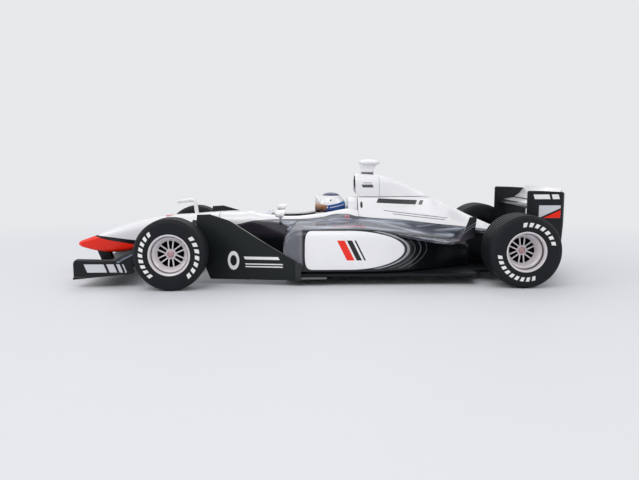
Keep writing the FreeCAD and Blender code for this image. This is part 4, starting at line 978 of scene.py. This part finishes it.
@cache
def helmet_paint():
    """White with a blue band, a navy crown and chin, a pale streak and two screws."""
    paint = Paint("helmet_paint_finish", colours().white)
    x, z = paint.x, paint.z
    band = z - paint.curve(x, ((-36.8, 17.1), (-35.0, 16.45), (-33.5, 16.1), (-32.0, 15.85),
                               (-29.0, 15.5)))
    behind, crown = x + 31.4, 18.02 - z
    paint.layer(colours().blue, band.most(behind))
    paint.layer(colours().navy, (z - 14.9).most(behind), soft=0.5)
    paint.layer((0.02, 0.17, 0.42), band.most(x + 35.6, 15.8 - z), soft=0.6)
    streak = ((z - 15.4) + (x + 33.0) * 0.2).beyond(0.08)
    paint.layer(colours().white, streak.most(x.beyond(1.6, -34.5)), share=0.85)
    paint.layer(colours().white, oval(x, z, -32.2, 15.45, 0.2, 0.2))
    paint.layer(colours().navy, crown)
    paint.layer((0.02, 0.05, 0.04), oval(x, z, -33.0, 17.05, 0.2, 0.2))
    tinted = band.most(behind).least(crown).inside()
    return paint.finish(roughness=0.2, mottle=0.04, coat=0.6 - tinted * 0.5, shine=0.35)


@cache
def visor_tint():
    paint = Paint("visor_tint_finish", colours().visor)
    # A lighter top front: a painted highlight.
    paint.layer((0.70, 0.46, 0.27), (15.8 - paint.z).most(-(paint.x + 31.2)), soft=0.9,
                share=0.8)
    paint.layer((0.028, 0.010, 0.006), paint.z - 15.1, soft=0.6)
    return paint.finish(roughness=0.12, mottle=0.25, relief=0.03, coat=0.6)


@cache
def floor_paint():
    """A pale floor that fades into the background's colour away from the car."""
    stage = bpy.context.scene.car_stage
    paint = Paint("floor_paint_finish", stage.floor_colour)
    material = paint.finish(roughness=0.6, scale=200, mottle=0.01, relief=0.0)
    away = (paint.x + FRONT_AXLE.x / MM) * 0.75
    distance = (away * away + paint.y * paint.y).root()
    fade = add(paint.tree, "MapRange", {"Value": distance, "From Min": 45.0, "From Max": 150.0},
               "Result", interpolation_type="SMOOTHSTEP")
    backdrop = add(paint.tree, "Emission", {"Color": stage.backdrop})
    surface = add(paint.tree, "MixShader", {
        "Fac": fade * seen_directly(paint.tree),
        1: Wire(paint.tree, paint.shader.outputs["BSDF"]), 2: backdrop})
    feed(paint.tree, paint.tree.nodes["Material Output"].inputs["Surface"], surface)
    return material


# Body shells: rows of sections in millimetres, first the distance ahead of the front axle.
# Nose and tub: half width at shoulder and keel, underside, top, and the two corner rounds.
NOSE_ROWS = (
    (24.2, 0.62, 0.58, 6.84, 7.36, 0.24, 0.24),
    (24.0, 0.94, 0.85, 6.64, 7.56, 0.38, 0.38),
    (23.6, 1.22, 1.05, 6.46, 7.80, 0.50, 0.46),
    (22.6, 1.48, 1.24, 6.16, 8.14, 0.66, 0.56),
    (20.3, 1.90, 1.60, 5.60, 8.96, 0.95, 0.72),
    (17.1, 2.42, 1.97, 5.22, 10.24, 1.28, 0.84),
    (13.5, 2.92, 2.35, 5.50, 11.44, 1.60, 0.98),
    (9.9, 3.38, 2.73, 6.62, 12.47, 1.90, 1.10),
    (4.8, 4.00, 3.20, 7.44, 13.40, 2.10, 1.20),
    (-1.7, 4.47, 3.48, 7.15, 13.83, 2.20, 1.34),
    (-8.17, 4.70, 3.67, 6.80, 14.30, 2.20, 1.32),
)
TUB_ROWS = (
    (-8.23, 4.70, 3.67, 6.80, 14.30, 2.20, 1.32),
    (-13.9, 5.14, 4.36, 5.26, 14.45, 2.20, 1.28),
    (-15.0, 5.22, 4.56, 4.65, 14.66, 2.30, 1.10),
    (-15.9, 5.30, 4.72, 4.20, 14.58, 2.30, 1.05),
    (-17.0, 5.38, 4.88, 3.60, 14.16, 2.20, 0.95),
    (-19.6, 5.59, 5.20, 2.50, 13.94, 2.10, 0.84),
    (-24.95, 6.05, 5.85, 2.50, 13.72, 2.18, 0.90),
    (-31.0, 6.37, 6.24, 2.50, 14.38, 2.29, 0.95),
    (-37.0, 6.50, 6.44, 2.50, 15.26, 2.34, 0.97),
    (-39.0, 6.50, 6.44, 2.50, 15.04, 2.34, 0.97),
)
# Engine cover: foot, waist and spine, each a half width and a height, and the spine's round.
COVER_ROWS = (
    (-39.1, 6.11, 13.23, 4.68, 15.07, 3.19, 17.80, 1.6),
    (-46.9, 6.11, 12.93, 4.42, 14.95, 2.80, 17.80, 1.5),
    (-52.6, 5.72, 12.30, 3.51, 14.26, 1.95, 17.80, 1.2),
    (-56.7, 4.81, 11.68, 2.60, 13.57, 0.98, 17.53, 0.7),
    (-60.7, 3.77, 10.90, 1.95, 12.40, 0.78, 15.64, 0.6),
    (-65.9, 2.86, 10.20, 1.56, 11.27, 0.65, 13.16, 0.5),
    (-70.5, 1.95, 9.20, 1.17, 9.90, 0.52, 11.20, 0.4),
)
# Airbox: half width at foot and crown, and its top.
AIRBOX_ROWS = (
    (-38.6, 2.80, 2.80, 23.00),
    (-41.0, 2.82, 2.75, 22.95),
    (-44.0, 2.80, 2.58, 22.64),
    (-46.7, 2.46, 1.90, 22.10),
    (-51.3, 1.90, 1.12, 20.20),
    (-56.3, 0.95, 0.56, 17.95),
)
# Sidepod: its inner and outer side, its outer edge and its crown.
POD_ROWS = (
    (-22.50, 5.15, 14.90, 8.20, 8.78),
    (-22.70, 5.15, 14.98, 9.10, 9.80),
    (-22.92, 5.15, 15.05, 9.79, 10.71),
    (-23.40, 5.19, 15.18, 10.50, 11.45),
    (-23.91, 5.23, 15.29, 10.97, 11.97),
    (-25.99, 5.30, 15.60, 11.68, 12.77),
    (-34.0, 5.30, 15.60, 11.70, 13.10),
    (-40.5, 5.30, 15.60, 11.62, 13.30),
    (-46.9, 4.68, 14.66, 10.50, 12.77),
    (-53.9, 3.12, 10.92, 9.20, 11.70),
    (-59.9, 1.87, 7.33, 8.26, 10.64),
    (-64.0, 1.56, 5.30, 7.08, 9.31),
)
FLOOR_TOP = 2.5
AIRBOX_FOOT = 17.8
# Helmet: heights, then half width and the reach ahead of and behind its middle.
HELMET_ROWS = (
    (18.70, 0.05, 0.05, 0.05),
    (18.55, 1.10, 1.00, 1.20),
    (18.10, 1.95, 1.85, 2.10),
    (17.60, 2.40, 2.50, 2.62),
    (17.10, 2.66, 3.02, 3.02),
    (16.00, 2.92, 3.48, 3.46),
    (14.90, 2.92, 3.50, 3.46),
    (13.80, 2.72, 3.45, 3.20),
    (13.20, 2.50, 3.20, 2.90),
    (12.95, 2.20, 2.80, 2.60),
)
HELMET_X = -33.1
# Mirror housing from its nose to its glass: place along it, half width and half height.
MIRROR_ROWS = (
    (1.0, 0.70, 0.28), (0.94, 1.05, 0.52), (0.76, 1.26, 0.70), (0.4, 1.38, 0.80),
    (0.0, 1.40, 0.80), (-0.4, 1.40, 0.78), (-0.7, 1.46, 0.82), (-0.92, 1.56, 0.92),
    (-1.0, 1.52, 0.90),
)
MIRROR_X, MIRROR_Y, MIRROR_Z = -21.7, 9.5, 14.6
# Mirror stalk from the housing to the tub: side, height and half thickness.
STALK_ROWS = ((8.6, 14.2, 0.32), (8.0, 13.6, 0.30), (6.6, 12.5, 0.32), (5.2, 11.9, 0.40))
# Camera pod's stem: height, front, back and half width.
STEM_ROWS = ((22.6, -40.2, -42.9, 0.72), (23.2, -40.1, -42.9, 0.72),
             (24.2, -39.9, -43.2, 0.85), (25.2, -39.7, -43.6, 1.1))
# The sides of the car, with the sign of their Y.
SIDES = (("left", 1), ("right", -1))
# Wheels: the tyre's width and radius, how deep the rim's face lies, the grooves round the tread,
# and the groups of marks on the sidewall, each with its start and end in degrees and its count.
WHEELS = {
    "front": SimpleNamespace(width=6.0, radius=7.27, dish=2.1, grooves=3,
                             marks=((-53.0, 53.0, 9), (137.0, 233.0, 7))),
    "rear": SimpleNamespace(width=7.95, radius=7.55, dish=3.1, grooves=4,
                            marks=((77.0, 168.0, 7), (-112.0, -4.0, 9))),
}
RIM_INSET = 0.2
BEAD = 4.2
SPOKE_PAIRS = 6


def shell_of_rows(rows, stations, section, lean=lambda x, z: x):
    """A shell whose section at each station comes from smooth curves through the rows."""
    return skin([[place(lean(x, z), y, z) for y, z in section(*trace(rows, x))]
                 for x in stations])


def evenly(rows, count):
    """Evenly spaced stations from the first row to the last."""
    return steps(rows[0][0], rows[-1][0], count)


def hull_section(shoulder, keel, low, high, top_round, low_round):
    return rounded(both_sides([(shoulder, high, top_round), (keel, low, low_round)]), 8, 5)


def cover_section(foot, low, waist, middle, spine, crest, top_round):
    return rounded(both_sides([(spine, crest, top_round), (waist, middle, 1.0),
                               (foot, low, 0.2)]), 6, 4)


def airbox_section(foot, crown, top):
    seam = bpy.context.scene.car_sizes.seam / MM
    depth = (top - AIRBOX_FOOT) * 0.45
    return rounded(both_sides([(crown, top, min(crown * 0.8, depth)),
                               (foot, AIRBOX_FOOT + seam, 0.05)]), 8, 4)


def pod_section(inner, outer, edge, crown):
    return rounded([(inner, FLOOR_TOP, 0.1), (outer, FLOOR_TOP, outer * 0.05),
                    (outer, edge, outer * 0.12), (inner, crown, 0.3)], 7, 7)


def box(left, right, low, high, radius):
    """The corners of a rounded rectangle."""
    return [(left, high, radius), (left, low, radius), (right, low, radius),
            (right, high, radius)]


class CAR_OT_nose(bpy.types.Operator):
    """Make the painted nose cone with its bent probe"""

    bl_idname = "car.make_nose"
    bl_label = "Nose"

    def execute(self, context):
        shell = shell_of_rows(NOSE_ROWS, evenly(NOSE_ROWS, 60), hull_section)
        soften(shell, 0.12, 3, CREASE)
        piece("nose_shell", shell, nose_paint(), replaced=("nose_cone",))
        probe = tube([(-2.65, 13.2), (-2.2, 17.06), (1.85, 16.62)], 0.44, 1.0)
        soften(probe, 0.2, 3, CREASE)
        piece("nose_probe_tube", probe, gloss_white(), replaced=("nose_probe",))
        return {"FINISHED"}


class CAR_OT_tub(bpy.types.Operator):
    """Make the tub with its open cockpit, the dashboard, the steering wheel and the screen"""

    bl_idname = "car.make_tub"
    bl_label = "Tub and cockpit"

    def execute(self, context):
        shell = shell_of_rows(TUB_ROWS, evenly(TUB_ROWS, 60), hull_section)
        mouth = rounded(both_sides([(4.3, -19.6, 2.6), (4.3, -37.2, 2.6)]), 8, 2)
        well = skin([[place(x, y, z) for y, x in mouth] for z in (4.2, 20.0)])
        paints = (tub_paint(), cockpit_paint())
        piece("tub_shell", cut(shell, well, paints, 0.25), paints, replaced=("monocoque",))
        dress("dashboard", satin_black())
        dress("steering_wheel", satin_black(), 0.1)

        # The windscreen's section: station, how much it bends back, and height.
        section = ((-17.7, 1.9, 13.8), (-19.0, 1.0, 14.45), (-19.16, 1.0, 14.45),
                   (-17.86, 1.9, 13.8))
        sheet = skin([[place(x - bend * across * across, 3.65 * across, z)
                       for x, bend, z in section] for across in steps(-1.0, 1.0, 24)])
        piece("windscreen_sheet", sheet, smoked_clear(), replaced=("windscreen",))
        return {"FINISHED"}


class CAR_OT_cover(bpy.types.Operator):
    """Make the engine cover, the airbox and the head rest"""

    bl_idname = "car.make_cover"
    bl_label = "Engine cover and airbox"

    def execute(self, context):
        shell = shell_of_rows(COVER_ROWS, evenly(COVER_ROWS, 56), cover_section)
        piece("engine_cover_shell", shell, cover_paint(), replaced=("engine_cover",))

        def front_lean(x, z):
            """Draws the foot of the mouth back under its lip."""
            start, run, lip, height, pull = -44.0, 5.4, 19.2, 1.4, 1.3
            share = max((x - start) / run, 0.0)
            return x - share * pull * max((lip - z) / height, 0.0) ** 2

        shell = shell_of_rows(AIRBOX_ROWS, evenly(AIRBOX_ROWS, 44), airbox_section, front_lean)
        mouth = rounded(both_sides([(2.25, 22.45, 1.7), (2.25, 18.9, 1.7)]), 8, 2)
        # The mouth's walls take painted shade.
        paints = (airbox_paint(), hollow_shade_black())
        piece("airbox_shell", cut(shell, lengthwise(mouth, -41.6, -35.0), paints, 0.2), paints,
              replaced=("airbox",))
        dress("headrest", gloss_white(), 0.5)
        return {"FINISHED"}


class CAR_OT_sidepods(bpy.types.Operator):
    """Make the two sidepods with their open intakes and the flip-ups behind them"""

    bl_idname = "car.make_sidepods"
    bl_label = "Sidepods"

    def execute(self, context):
        front, tail = POD_ROWS[0][0], POD_ROWS[-1][0]
        stations = steps(front, -26.5, 20) + steps(-27.0, tail, 50)
        shell = shell_of_rows(POD_ROWS, stations, pod_section)
        intake = rounded(box(8.55, 14.0, 3.4, 8.0, 1.4), 6, 2)
        # The intakes' walls take painted shade.
        paints = (pod_paint(), hollow_shade_black())
        left = cut(shell, lengthwise(intake, -29.4, -18.0), paints, 0.3)
        for side, half in (("left", left), ("right", flip(left.copy()))):
            piece(f"sidepod_shell_{side}", half, paints, replaced=(f"sidepod_{side}",))

        # The shelves fall towards the car's middle, the more the further back and up.
        outer_edge, start, run, foot, fall = 14.7, -55.0, 5.0, 8.4, 0.85
        shelves = from_cad("flip_ups")
        for vertex in shelves.verts:
            spot = (vertex.co - place(0, 0, 0)) / MM
            inboard = 1.0 - min(abs(spot.y) / outer_edge, 1.0)
            astern = min(max((start - spot.x) / run, 0.0), 1.0)
            vertex.co.z -= fall * inboard * astern * max(spot.z - foot, 0.0) * MM
        soften(shelves, 0.12)
        piece("flip_up_shelves", shelves, flip_paint(), replaced=("flip_ups",))
        return {"FINISHED"}


class CAR_OT_floor(bpy.types.Operator):
    """Make the floor, the plank, the diffuser and the rear chassis"""

    bl_idname = "car.make_floor"
    bl_label = "Floor and rear chassis"

    def execute(self, context):
        for node in ("floor_plate", "plank", "diffuser"):
            dress(node, satin_black())
        dress("rear_chassis", rear_chassis_paint(), 0.15)
        dress("rain_light", lamp_red(), 0.15)
        return {"FINISHED"}


class CAR_OT_wings(bpy.types.Operator):
    """Make the front wing, the barge boards and the rear wing"""

    bl_idname = "car.make_wings"
    bl_label = "Wings and boards"

    def execute(self, context):
        outline = ((16.8, 3.4), (19.0, 3.4), (20.1, 6.2), (17.6, 6.0))
        spacing, half_thick = 1.15, 0.3
        pylons = join(*(skin([[place(x, y, z) for x, z in outline]
                              for y in (middle - half_thick, middle + half_thick)])
                        for middle in (-spacing, spacing)))
        soften(pylons, context.scene.car_sizes.edge_round / MM)
        piece("wing_pylon_blades", pylons, satin_black(), replaced=("wing_pylons",))
        for node, paint in (
            ("front_wing", satin_black()), ("beam_wing", satin_black()),
            ("front_flaps", flap_paint()), ("front_endplates", front_plate_paint()),
            ("barge_boards", board_paint()), ("rear_flap", rear_wing_paint()),
            ("rear_endplates", rear_plate_paint()),
        ):
            dress(node, paint)
        dress("rear_wing", rear_wing_paint())
        return {"FINISHED"}


def turned(profile, facets):
    """A shell spun about the Y axis from a profile (along the axle, radius), in millimetres."""
    shell = bmesh.new()
    spots = [shell.verts.new((0, y * MM, radius * MM)) for y, radius in profile]
    edges = [shell.edges.new(ends) for ends in zip(spots, spots[1:] + spots[:1])]
    bmesh.ops.spin(shell, geom=spots + edges, cent=(0, 0, 0), axis=(0, 1, 0),
                   angle=math.tau, steps=facets, use_merge=True)
    bmesh.ops.remove_doubles(shell, verts=shell.verts[:], dist=MM * 0.001)
    bmesh.ops.recalc_face_normals(shell, faces=shell.faces[:])
    return shell


def tyre_profile(sizes, wheel):
    """Sidewalls with a slight bulge, round shoulders and a grooved tread."""
    half = wheel.width / 2
    bulge = sizes.sidewall_bulge / MM
    wall = [(half - bulge, BEAD), (half - bulge * 0.3, BEAD + 0.35), (half, BEAD + 1.0),
            (half - bulge * 0.2, BEAD + 1.75)]
    for turn in steps(math.radians(12), math.radians(84), 6):
        wall.append((half - 1.05 + math.cos(turn),
                     wheel.radius - 0.95 + 0.93 * math.sin(turn)))
    tread = []
    edge = half - 1.1
    groove, bottom = sizes.groove_width / MM, wheel.radius - sizes.groove_depth / MM
    for index in range(wheel.grooves):
        middle = edge - edge * 2 * (index + 0.5) / wheel.grooves
        tread += [(middle + groove / 2, wheel.radius), (middle + groove * 0.3, bottom),
                  (middle - groove * 0.3, bottom), (middle - groove / 2, wheel.radius)]
    return wall + tread + [(-y, radius) for y, radius in reversed(wall)]


def spokes(face):
    """Twin spokes round the hub, wider apart and thicker towards the barrel."""
    # Radius, half width, half spacing and height over the face, at the hub and at the barrel.
    hub_end, barrel_end = (0.8, 0.13, 0.36, 0.12), (2.95, 0.15, 0.56, 0.04)
    depth = 0.55
    shell = bmesh.new()
    for pair in range(SPOKE_PAIRS):
        for side in (-1, 1):
            corners = bmesh.ops.create_cube(shell, size=1.0)["verts"]
            for corner in corners:
                radius, wide, gap, rise = barrel_end if corner.co.z > 0 else hub_end
                out = face + rise - (0.0 if corner.co.y > 0 else depth)
                corner.co = ((side * gap + math.copysign(wide, corner.co.x)) * MM, out * MM,
                             radius * MM)
            turn = Matrix.Rotation(math.tau * pair / SPOKE_PAIRS, 4, "Y")
            bmesh.ops.transform(shell, matrix=turn, verts=corners)
    soften(shell, 0.045)
    return shell


def rim_parts(wheel, facets):
    """Rim with lip, barrel, twin spokes and hub, then its dark back plate, a sheet of painted shade
    in the barrel's depth, and the wheel nut.
    """
    outer = wheel.width / 2 - RIM_INSET
    back = -wheel.width / 2 * 0.86
    face = outer - wheel.dish
    step = face + wheel.dish * 0.45
    well, centre = 3.72, 0.0001
    barrel = turned([
        (outer - 0.05, 4.22), (outer + 0.06, 4.16), (outer + 0.1, 4.02), (outer + 0.04, 3.88),
        (outer - 0.1, 3.80), (step + 0.2, 3.46), (step + 0.06, 3.36), (step, 3.26),
        (step - 0.12, 3.24), (step - 0.2, 3.16), (face + 0.2, 2.86), (face + 0.1, 2.74),
        (face - 0.05, 2.66), (face - 0.6, 2.66), (face - 0.7, 3.2), (face - 0.7, 3.66),
        (back, well), (back, 4.22),
    ], facets)
    hub = turned([
        (face + 0.22, centre), (face + 0.22, 0.62), (face + 0.16, 0.95), (face + 0.02, 1.05),
        (face - 0.6, 1.08), (face - 0.6, centre),
    ], 48)
    plate = turned([(face - 0.85, 1.2), (face - 0.85, well), (face - 0.95, well),
                    (face - 0.95, 1.2)], 48)
    nut = turned([
        (face + 0.62, centre), (face + 0.62, 0.34), (face + 0.56, 0.42), (face + 0.5, 0.56),
        (face + 0.4, 0.70), (face + 0.2, 0.74), (face + 0.1, 0.74), (face + 0.1, centre),
    ], 24)
    return join(barrel, spokes(face), hub), plate, nut


class CAR_OT_wheels(bpy.types.Operator):
    """Make the four grooved tyres and the dished rims with twin spokes"""

    bl_idname = "car.make_wheels"
    bl_label = "Wheels"

    def execute(self, context):
        sizes = context.scene.car_sizes
        for end, wheel in WHEELS.items():
            for side, sign in SIDES:
                rim, plate, nut = rim_parts(wheel, sizes.turns)
                tyre = turned(tyre_profile(sizes, wheel), sizes.turns)
                for name, shell, paint, replaced, slot, sharp in (
                    (f"{end}_tyre_{side}_grooved", tyre, tyre_paint(end),
                     (f"{end}_tyre_{side}",), "tyre_rubber", 40),
                    (f"{end}_rim_{side}_spoked", rim, rim_paint(end),
                     (f"{end}_rim_{side}",), "rim_silver", 35),
                    (f"{end}_nut_{side}", nut, nut_metal(), (), "rim_silver", 35),
                    (f"{end}_rim_depth_{side}", plate, hollow_shade_black(), (), "rim_silver", 32),
                ):
                    if sign < 0:
                        flip(shell)
                    bmesh.ops.translate(shell, vec=JOINTS[f"{end}_{side}_spin"],
                                        verts=shell.verts[:])
                    piece(name, shell, paint, replaced, f"{end}_{side}_wheel", sharp)
        return {"FINISHED"}


class CAR_OT_suspension(bpy.types.Operator):
    """Make the suspension arms, the drive shafts and the uprights"""

    bl_idname = "car.make_suspension"
    bl_label = "Suspension"

    def execute(self, context):
        # The front arms' ends reach a little further into the tub.
        tub_side, reach = 5.4 * MM, 0.5 * MM
        arms = from_cad("front_suspension")
        for vertex in arms.verts:
            if abs(vertex.co.y) < tub_side:
                vertex.co.y -= math.copysign(reach, vertex.co.y)
        soften(arms, 0.1)
        piece("front_suspension_arms", arms, satin_black(), replaced=("front_suspension",))
        dress("rear_suspension", satin_black(), 0.1)
        dress("drive_shafts", axle_steel())
        # The uprights are near black painted shade, which darkens what the rims' windows show.
        for end in WHEELS:
            for side, _ in SIDES:
                dress(f"{end}_upright_{side}", hollow_shade_black())
        return {"FINISHED"}


def helmet_shell():
    """The helmet's closed shell, with its reach ahead and behind as its rows have it."""
    rings = []
    for z in evenly(HELMET_ROWS, 40):
        half, ahead, behind = trace(HELMET_ROWS, z)
        rings.append([place(HELMET_X + (ahead if level > 0 else behind) * level, half * side, z)
                      for level, side in circle(48)])
    return skin(rings)


def helmet_visor():
    """A curved sheet over the helmet's opening, less tall towards its ends."""
    half_turn, stand_off, thickness = math.radians(74), 0.08, 0.12
    foot, crest = 14.25, 16.35
    visor = bmesh.new()
    bmesh.ops.create_grid(visor, x_segments=10, y_segments=30, size=0.5)
    for vertex in visor.verts:
        share, swing = vertex.co.x + 0.5, vertex.co.y * 2
        low, high = foot + 0.55 * swing ** 4, crest - 0.45 * swing ** 2
        z = low + (high - low) * share
        half, ahead, _ = trace(HELMET_ROWS, z)
        spot = Vector((ahead * math.cos(half_turn * swing), half * math.sin(half_turn * swing)))
        spot += spot.normalized() * stand_off
        vertex.co = place(HELMET_X + spot.x, spot.y, z)
    bmesh.ops.recalc_face_normals(visor, faces=visor.faces[:])
    if visor.faces[:][0].normal.x < 0:
        bmesh.ops.reverse_faces(visor, faces=visor.faces[:])
    bmesh.ops.solidify(visor, geom=visor.faces[:], thickness=thickness * MM)
    bmesh.ops.recalc_face_normals(visor, faces=visor.faces[:])
    return visor


def helmet_lip():
    """The peak over the visor, highest in its middle."""
    section = ((2.95, 0.0), (3.5, 0.0), (3.56, 0.5), (3.5, 1.0), (3.14, 1.0), (3.05, 0.5))
    rings = []
    for turn in steps(math.radians(-46), math.radians(46), 24):
        rise = 1.75 * max(math.cos(turn * 1.9), 0.0) ** 0.35 + 0.1
        rings.append([place(HELMET_X + reach * math.cos(turn), reach * 0.84 * math.sin(turn),
                            16.2 + rise * up) for reach, up in section])
    lip = skin(rings)
    soften(lip, 0.08)
    return lip


class CAR_OT_driver(bpy.types.Operator):
    """Make the moulded driver figure: the closed helmet and the shoulders"""

    bl_idname = "car.make_driver"
    bl_label = "Driver figure"

    def execute(self, context):
        piece("helmet_shell", helmet_shell(), helmet_paint(), replaced=("driver_helmet",))
        piece("helmet_lip", helmet_lip(), gloss_white())
        piece("helmet_visor", helmet_visor(), visor_tint())
        dress("driver_torso", dark_cloth(), 0.5)
        return {"FINISHED"}


def squared(value):
    """A sine or cosine drawn towards one, which makes a circle squarer."""
    return math.copysign(abs(value) ** 0.85, value)


def mirror_spot(x, y, z, sign, lean):
    """A place measured from a mirror's middle, a share of its full lean further back."""
    return place(MIRROR_X + x - 0.42 * lean * z, sign * (MIRROR_Y + y), MIRROR_Z + z)


def mirror(sign):
    """A mirror's housing and stalk."""
    housing = skin([[mirror_spot(x, squared(level) * wide, squared(side) * tall, sign,
                                 max(-x, 0.0)) for level, side in circle(32)]
                    for x, wide, tall in MIRROR_ROWS])
    soften(housing, 0.05, 2, 60)
    stalk = skin([[place(MIRROR_X - 0.1 + half * level, sign * y, z + half * 0.8 * side)
                   for level, side in circle(16)] for y, z, half in STALK_ROWS])
    return join(housing, stalk)


def camera_pod():
    """The pod's long oval head on its stem."""
    middle, height = -41.93, 25.5
    half_long, half_wide, half_tall = 2.45, 1.7, 0.75
    rings = []
    for swing in steps(0.0, math.pi, 24):
        share = max(math.sin(swing), 0.02)
        wide, tall = half_wide * share ** 0.6, half_tall * share ** 0.8
        rings.append([place(middle + half_long * math.cos(swing), wide * level,
                            height + tall * side) for level, side in circle(32)])
    stem = [[place(x, y, z) for x, y in rounded(box(front, back, -half, half, 0.5), 5, 3)]
            for z, front, back, half in STEM_ROWS]
    return join(skin(rings), skin(stem))


class CAR_OT_trim(bpy.types.Operator):
    """Make the two mirrors and the camera pod"""

    bl_idname = "car.make_trim"
    bl_label = "Mirrors and camera pod"

    def execute(self, context):
        outline = rounded(box(1.3, -1.3, -0.62, 0.62, 0.4), 5, 1)
        for side, sign in SIDES:
            # Both mirrors are one CAD node, which the left one replaces.
            piece(f"mirror_{side}", mirror(sign), mirror_paint(),
                  replaced=("mirrors",) if sign > 0 else ())
            glass = skin([[mirror_spot(x, y, z, sign, 1.0) for y, z in outline]
                          for x in (-0.98, -1.04)])
            piece(f"mirror_glass_{side}", glass, mirror_glass())
        piece("camera_pod_shell", camera_pod(), camera_pod_paint(), replaced=("camera_pod",))
        return {"FINISHED"}


# Lamps: their names, places in metres, settings for power and widths.
LAMPS = (
    ("key_lamp", (0.10, 0.28, 0.34), "key_power", 0.30),
    ("nose_lamp", (0.34, 0.12, 0.20), "fill_power", 0.22),
    ("tail_lamp", (-0.32, 0.16, 0.24), "fill_power", 0.22),
    ("back_lamp", (0.0, -0.30, 0.34), "fill_power", 0.30),
)


def add_lamp(name, spot, power, width):
    """A soft round lamp that points at the car's middle."""
    light = bpy.data.lights.new(name, "AREA")
    light.shape = "DISK"
    light.size = width
    light.energy = power
    lamp = bpy.data.objects.new(name, light)
    bpy.context.scene.collection.objects.link(lamp)
    aim = Vector((0, 0, 0.008)) - Vector(spot)
    lamp.matrix_world = (Matrix.Translation(spot)
                         @ aim.to_track_quat("-Z", "Y").to_matrix().to_4x4())


def add_world(backdrop):
    """Soft light from all round, with the plain backdrop where it is looked at."""
    world = bpy.data.worlds.new("studio")
    bpy.context.scene.world = world
    world.use_nodes = True
    tree = world.node_tree
    soft = tree.nodes["Background"]
    feed(tree, soft.inputs["Color"], (0.93, 0.95, 1.0))
    feed(tree, soft.inputs["Strength"], 0.62)
    plain = add(tree, "Background", {"Color": backdrop, "Strength": 1.0})
    mix = add(tree, "MixShader", {"Fac": seen_directly(tree), 1: Wire(tree, soft.outputs[0]),
                                  2: plain})
    feed(tree, tree.nodes["World Output"].inputs["Surface"], mix)


def add_camera(stage):
    """The camera that was fitted to the photograph."""
    view = bpy.data.cameras.new("camera")
    view.sensor_width = 36.0
    view.sensor_fit = "HORIZONTAL"
    view.lens = stage.lens
    view.clip_start = 0.005
    view.clip_end = 20.0
    camera = bpy.data.objects.new("camera", view)
    bpy.context.scene.collection.objects.link(camera)
    yaw, pitch, roll = stage.yaw, stage.pitch, stage.roll
    ahead = Vector((math.sin(yaw) * math.cos(pitch), -math.cos(yaw) * math.cos(pitch),
                    -math.sin(pitch)))
    right = Vector((-math.cos(yaw), -math.sin(yaw), 0))
    up = right.cross(ahead)
    right, up = (right * math.cos(roll) + up * math.sin(roll),
                 up * math.cos(roll) - right * math.sin(roll))
    turn = Matrix((right, up, -ahead)).transposed().to_4x4()
    spot = Vector((stage.camera_x, stage.camera_y, stage.camera_z))
    camera.matrix_world = Matrix.Translation(spot) @ turn
    bpy.context.scene.camera = camera


class CAR_OT_stage(bpy.types.Operator):
    """Make the pale floor, the soft lamps and the camera"""

    bl_idname = "car.make_stage"
    bl_label = "Stage"

    def execute(self, context):
        stage = context.scene.car_stage
        floor = bmesh.new()
        bmesh.ops.create_grid(floor, x_segments=2, y_segments=2, size=3.0)
        ground = add_object("floor", floor)
        ground.data.materials.append(floor_paint())
        for name, spot, power, width in LAMPS:
            add_lamp(name, spot, getattr(stage, power), width)
        add_world(stage.backdrop)
        add_camera(stage)
        context.scene.view_settings.view_transform = "Standard"
        return {"FINISHED"}


class CAR_PT_panel(bpy.types.Panel):
    """Lists the pieces of the racing car"""

    bl_label = "Racing Car"
    bl_idname = "CAR_PT_panel"
    bl_space_type = "VIEW_3D"
    bl_region_type = "UI"
    bl_category = "Racing Car"

    def draw(self, context):
        layout = self.layout
        for settings in (context.scene.car_colours, context.scene.car_sizes,
                         context.scene.car_stage):
            box = layout.box()
            for name in settings.__annotations__:
                box.prop(settings, name)
        for operator in OPERATORS:
            layout.operator(operator.bl_idname)


OPERATORS = (CAR_OT_nose, CAR_OT_tub, CAR_OT_cover, CAR_OT_sidepods, CAR_OT_floor, CAR_OT_wings,
             CAR_OT_wheels, CAR_OT_suspension, CAR_OT_driver, CAR_OT_trim, CAR_OT_stage)
SETTINGS = (("car_colours", CarColours), ("car_sizes", CarSizes), ("car_stage", StageSettings))


def register():
    for name, group in SETTINGS:
        bpy.utils.register_class(group)
        setattr(bpy.types.Scene, name, PointerProperty(type=group))
    for operator in OPERATORS:
        bpy.utils.register_class(operator)
    bpy.utils.register_class(CAR_PT_panel)


def unregister():
    bpy.utils.unregister_class(CAR_PT_panel)
    for operator in reversed(OPERATORS):
        bpy.utils.unregister_class(operator)
    for name, group in reversed(SETTINGS):
        delattr(bpy.types.Scene, name)
        bpy.utils.unregister_class(group)


def main():
    register()
    for operator in OPERATORS:
        family, name = operator.bl_idname.split(".")
        getattr(getattr(bpy.ops, family), name)()


if __name__ == "__main__":
    main()
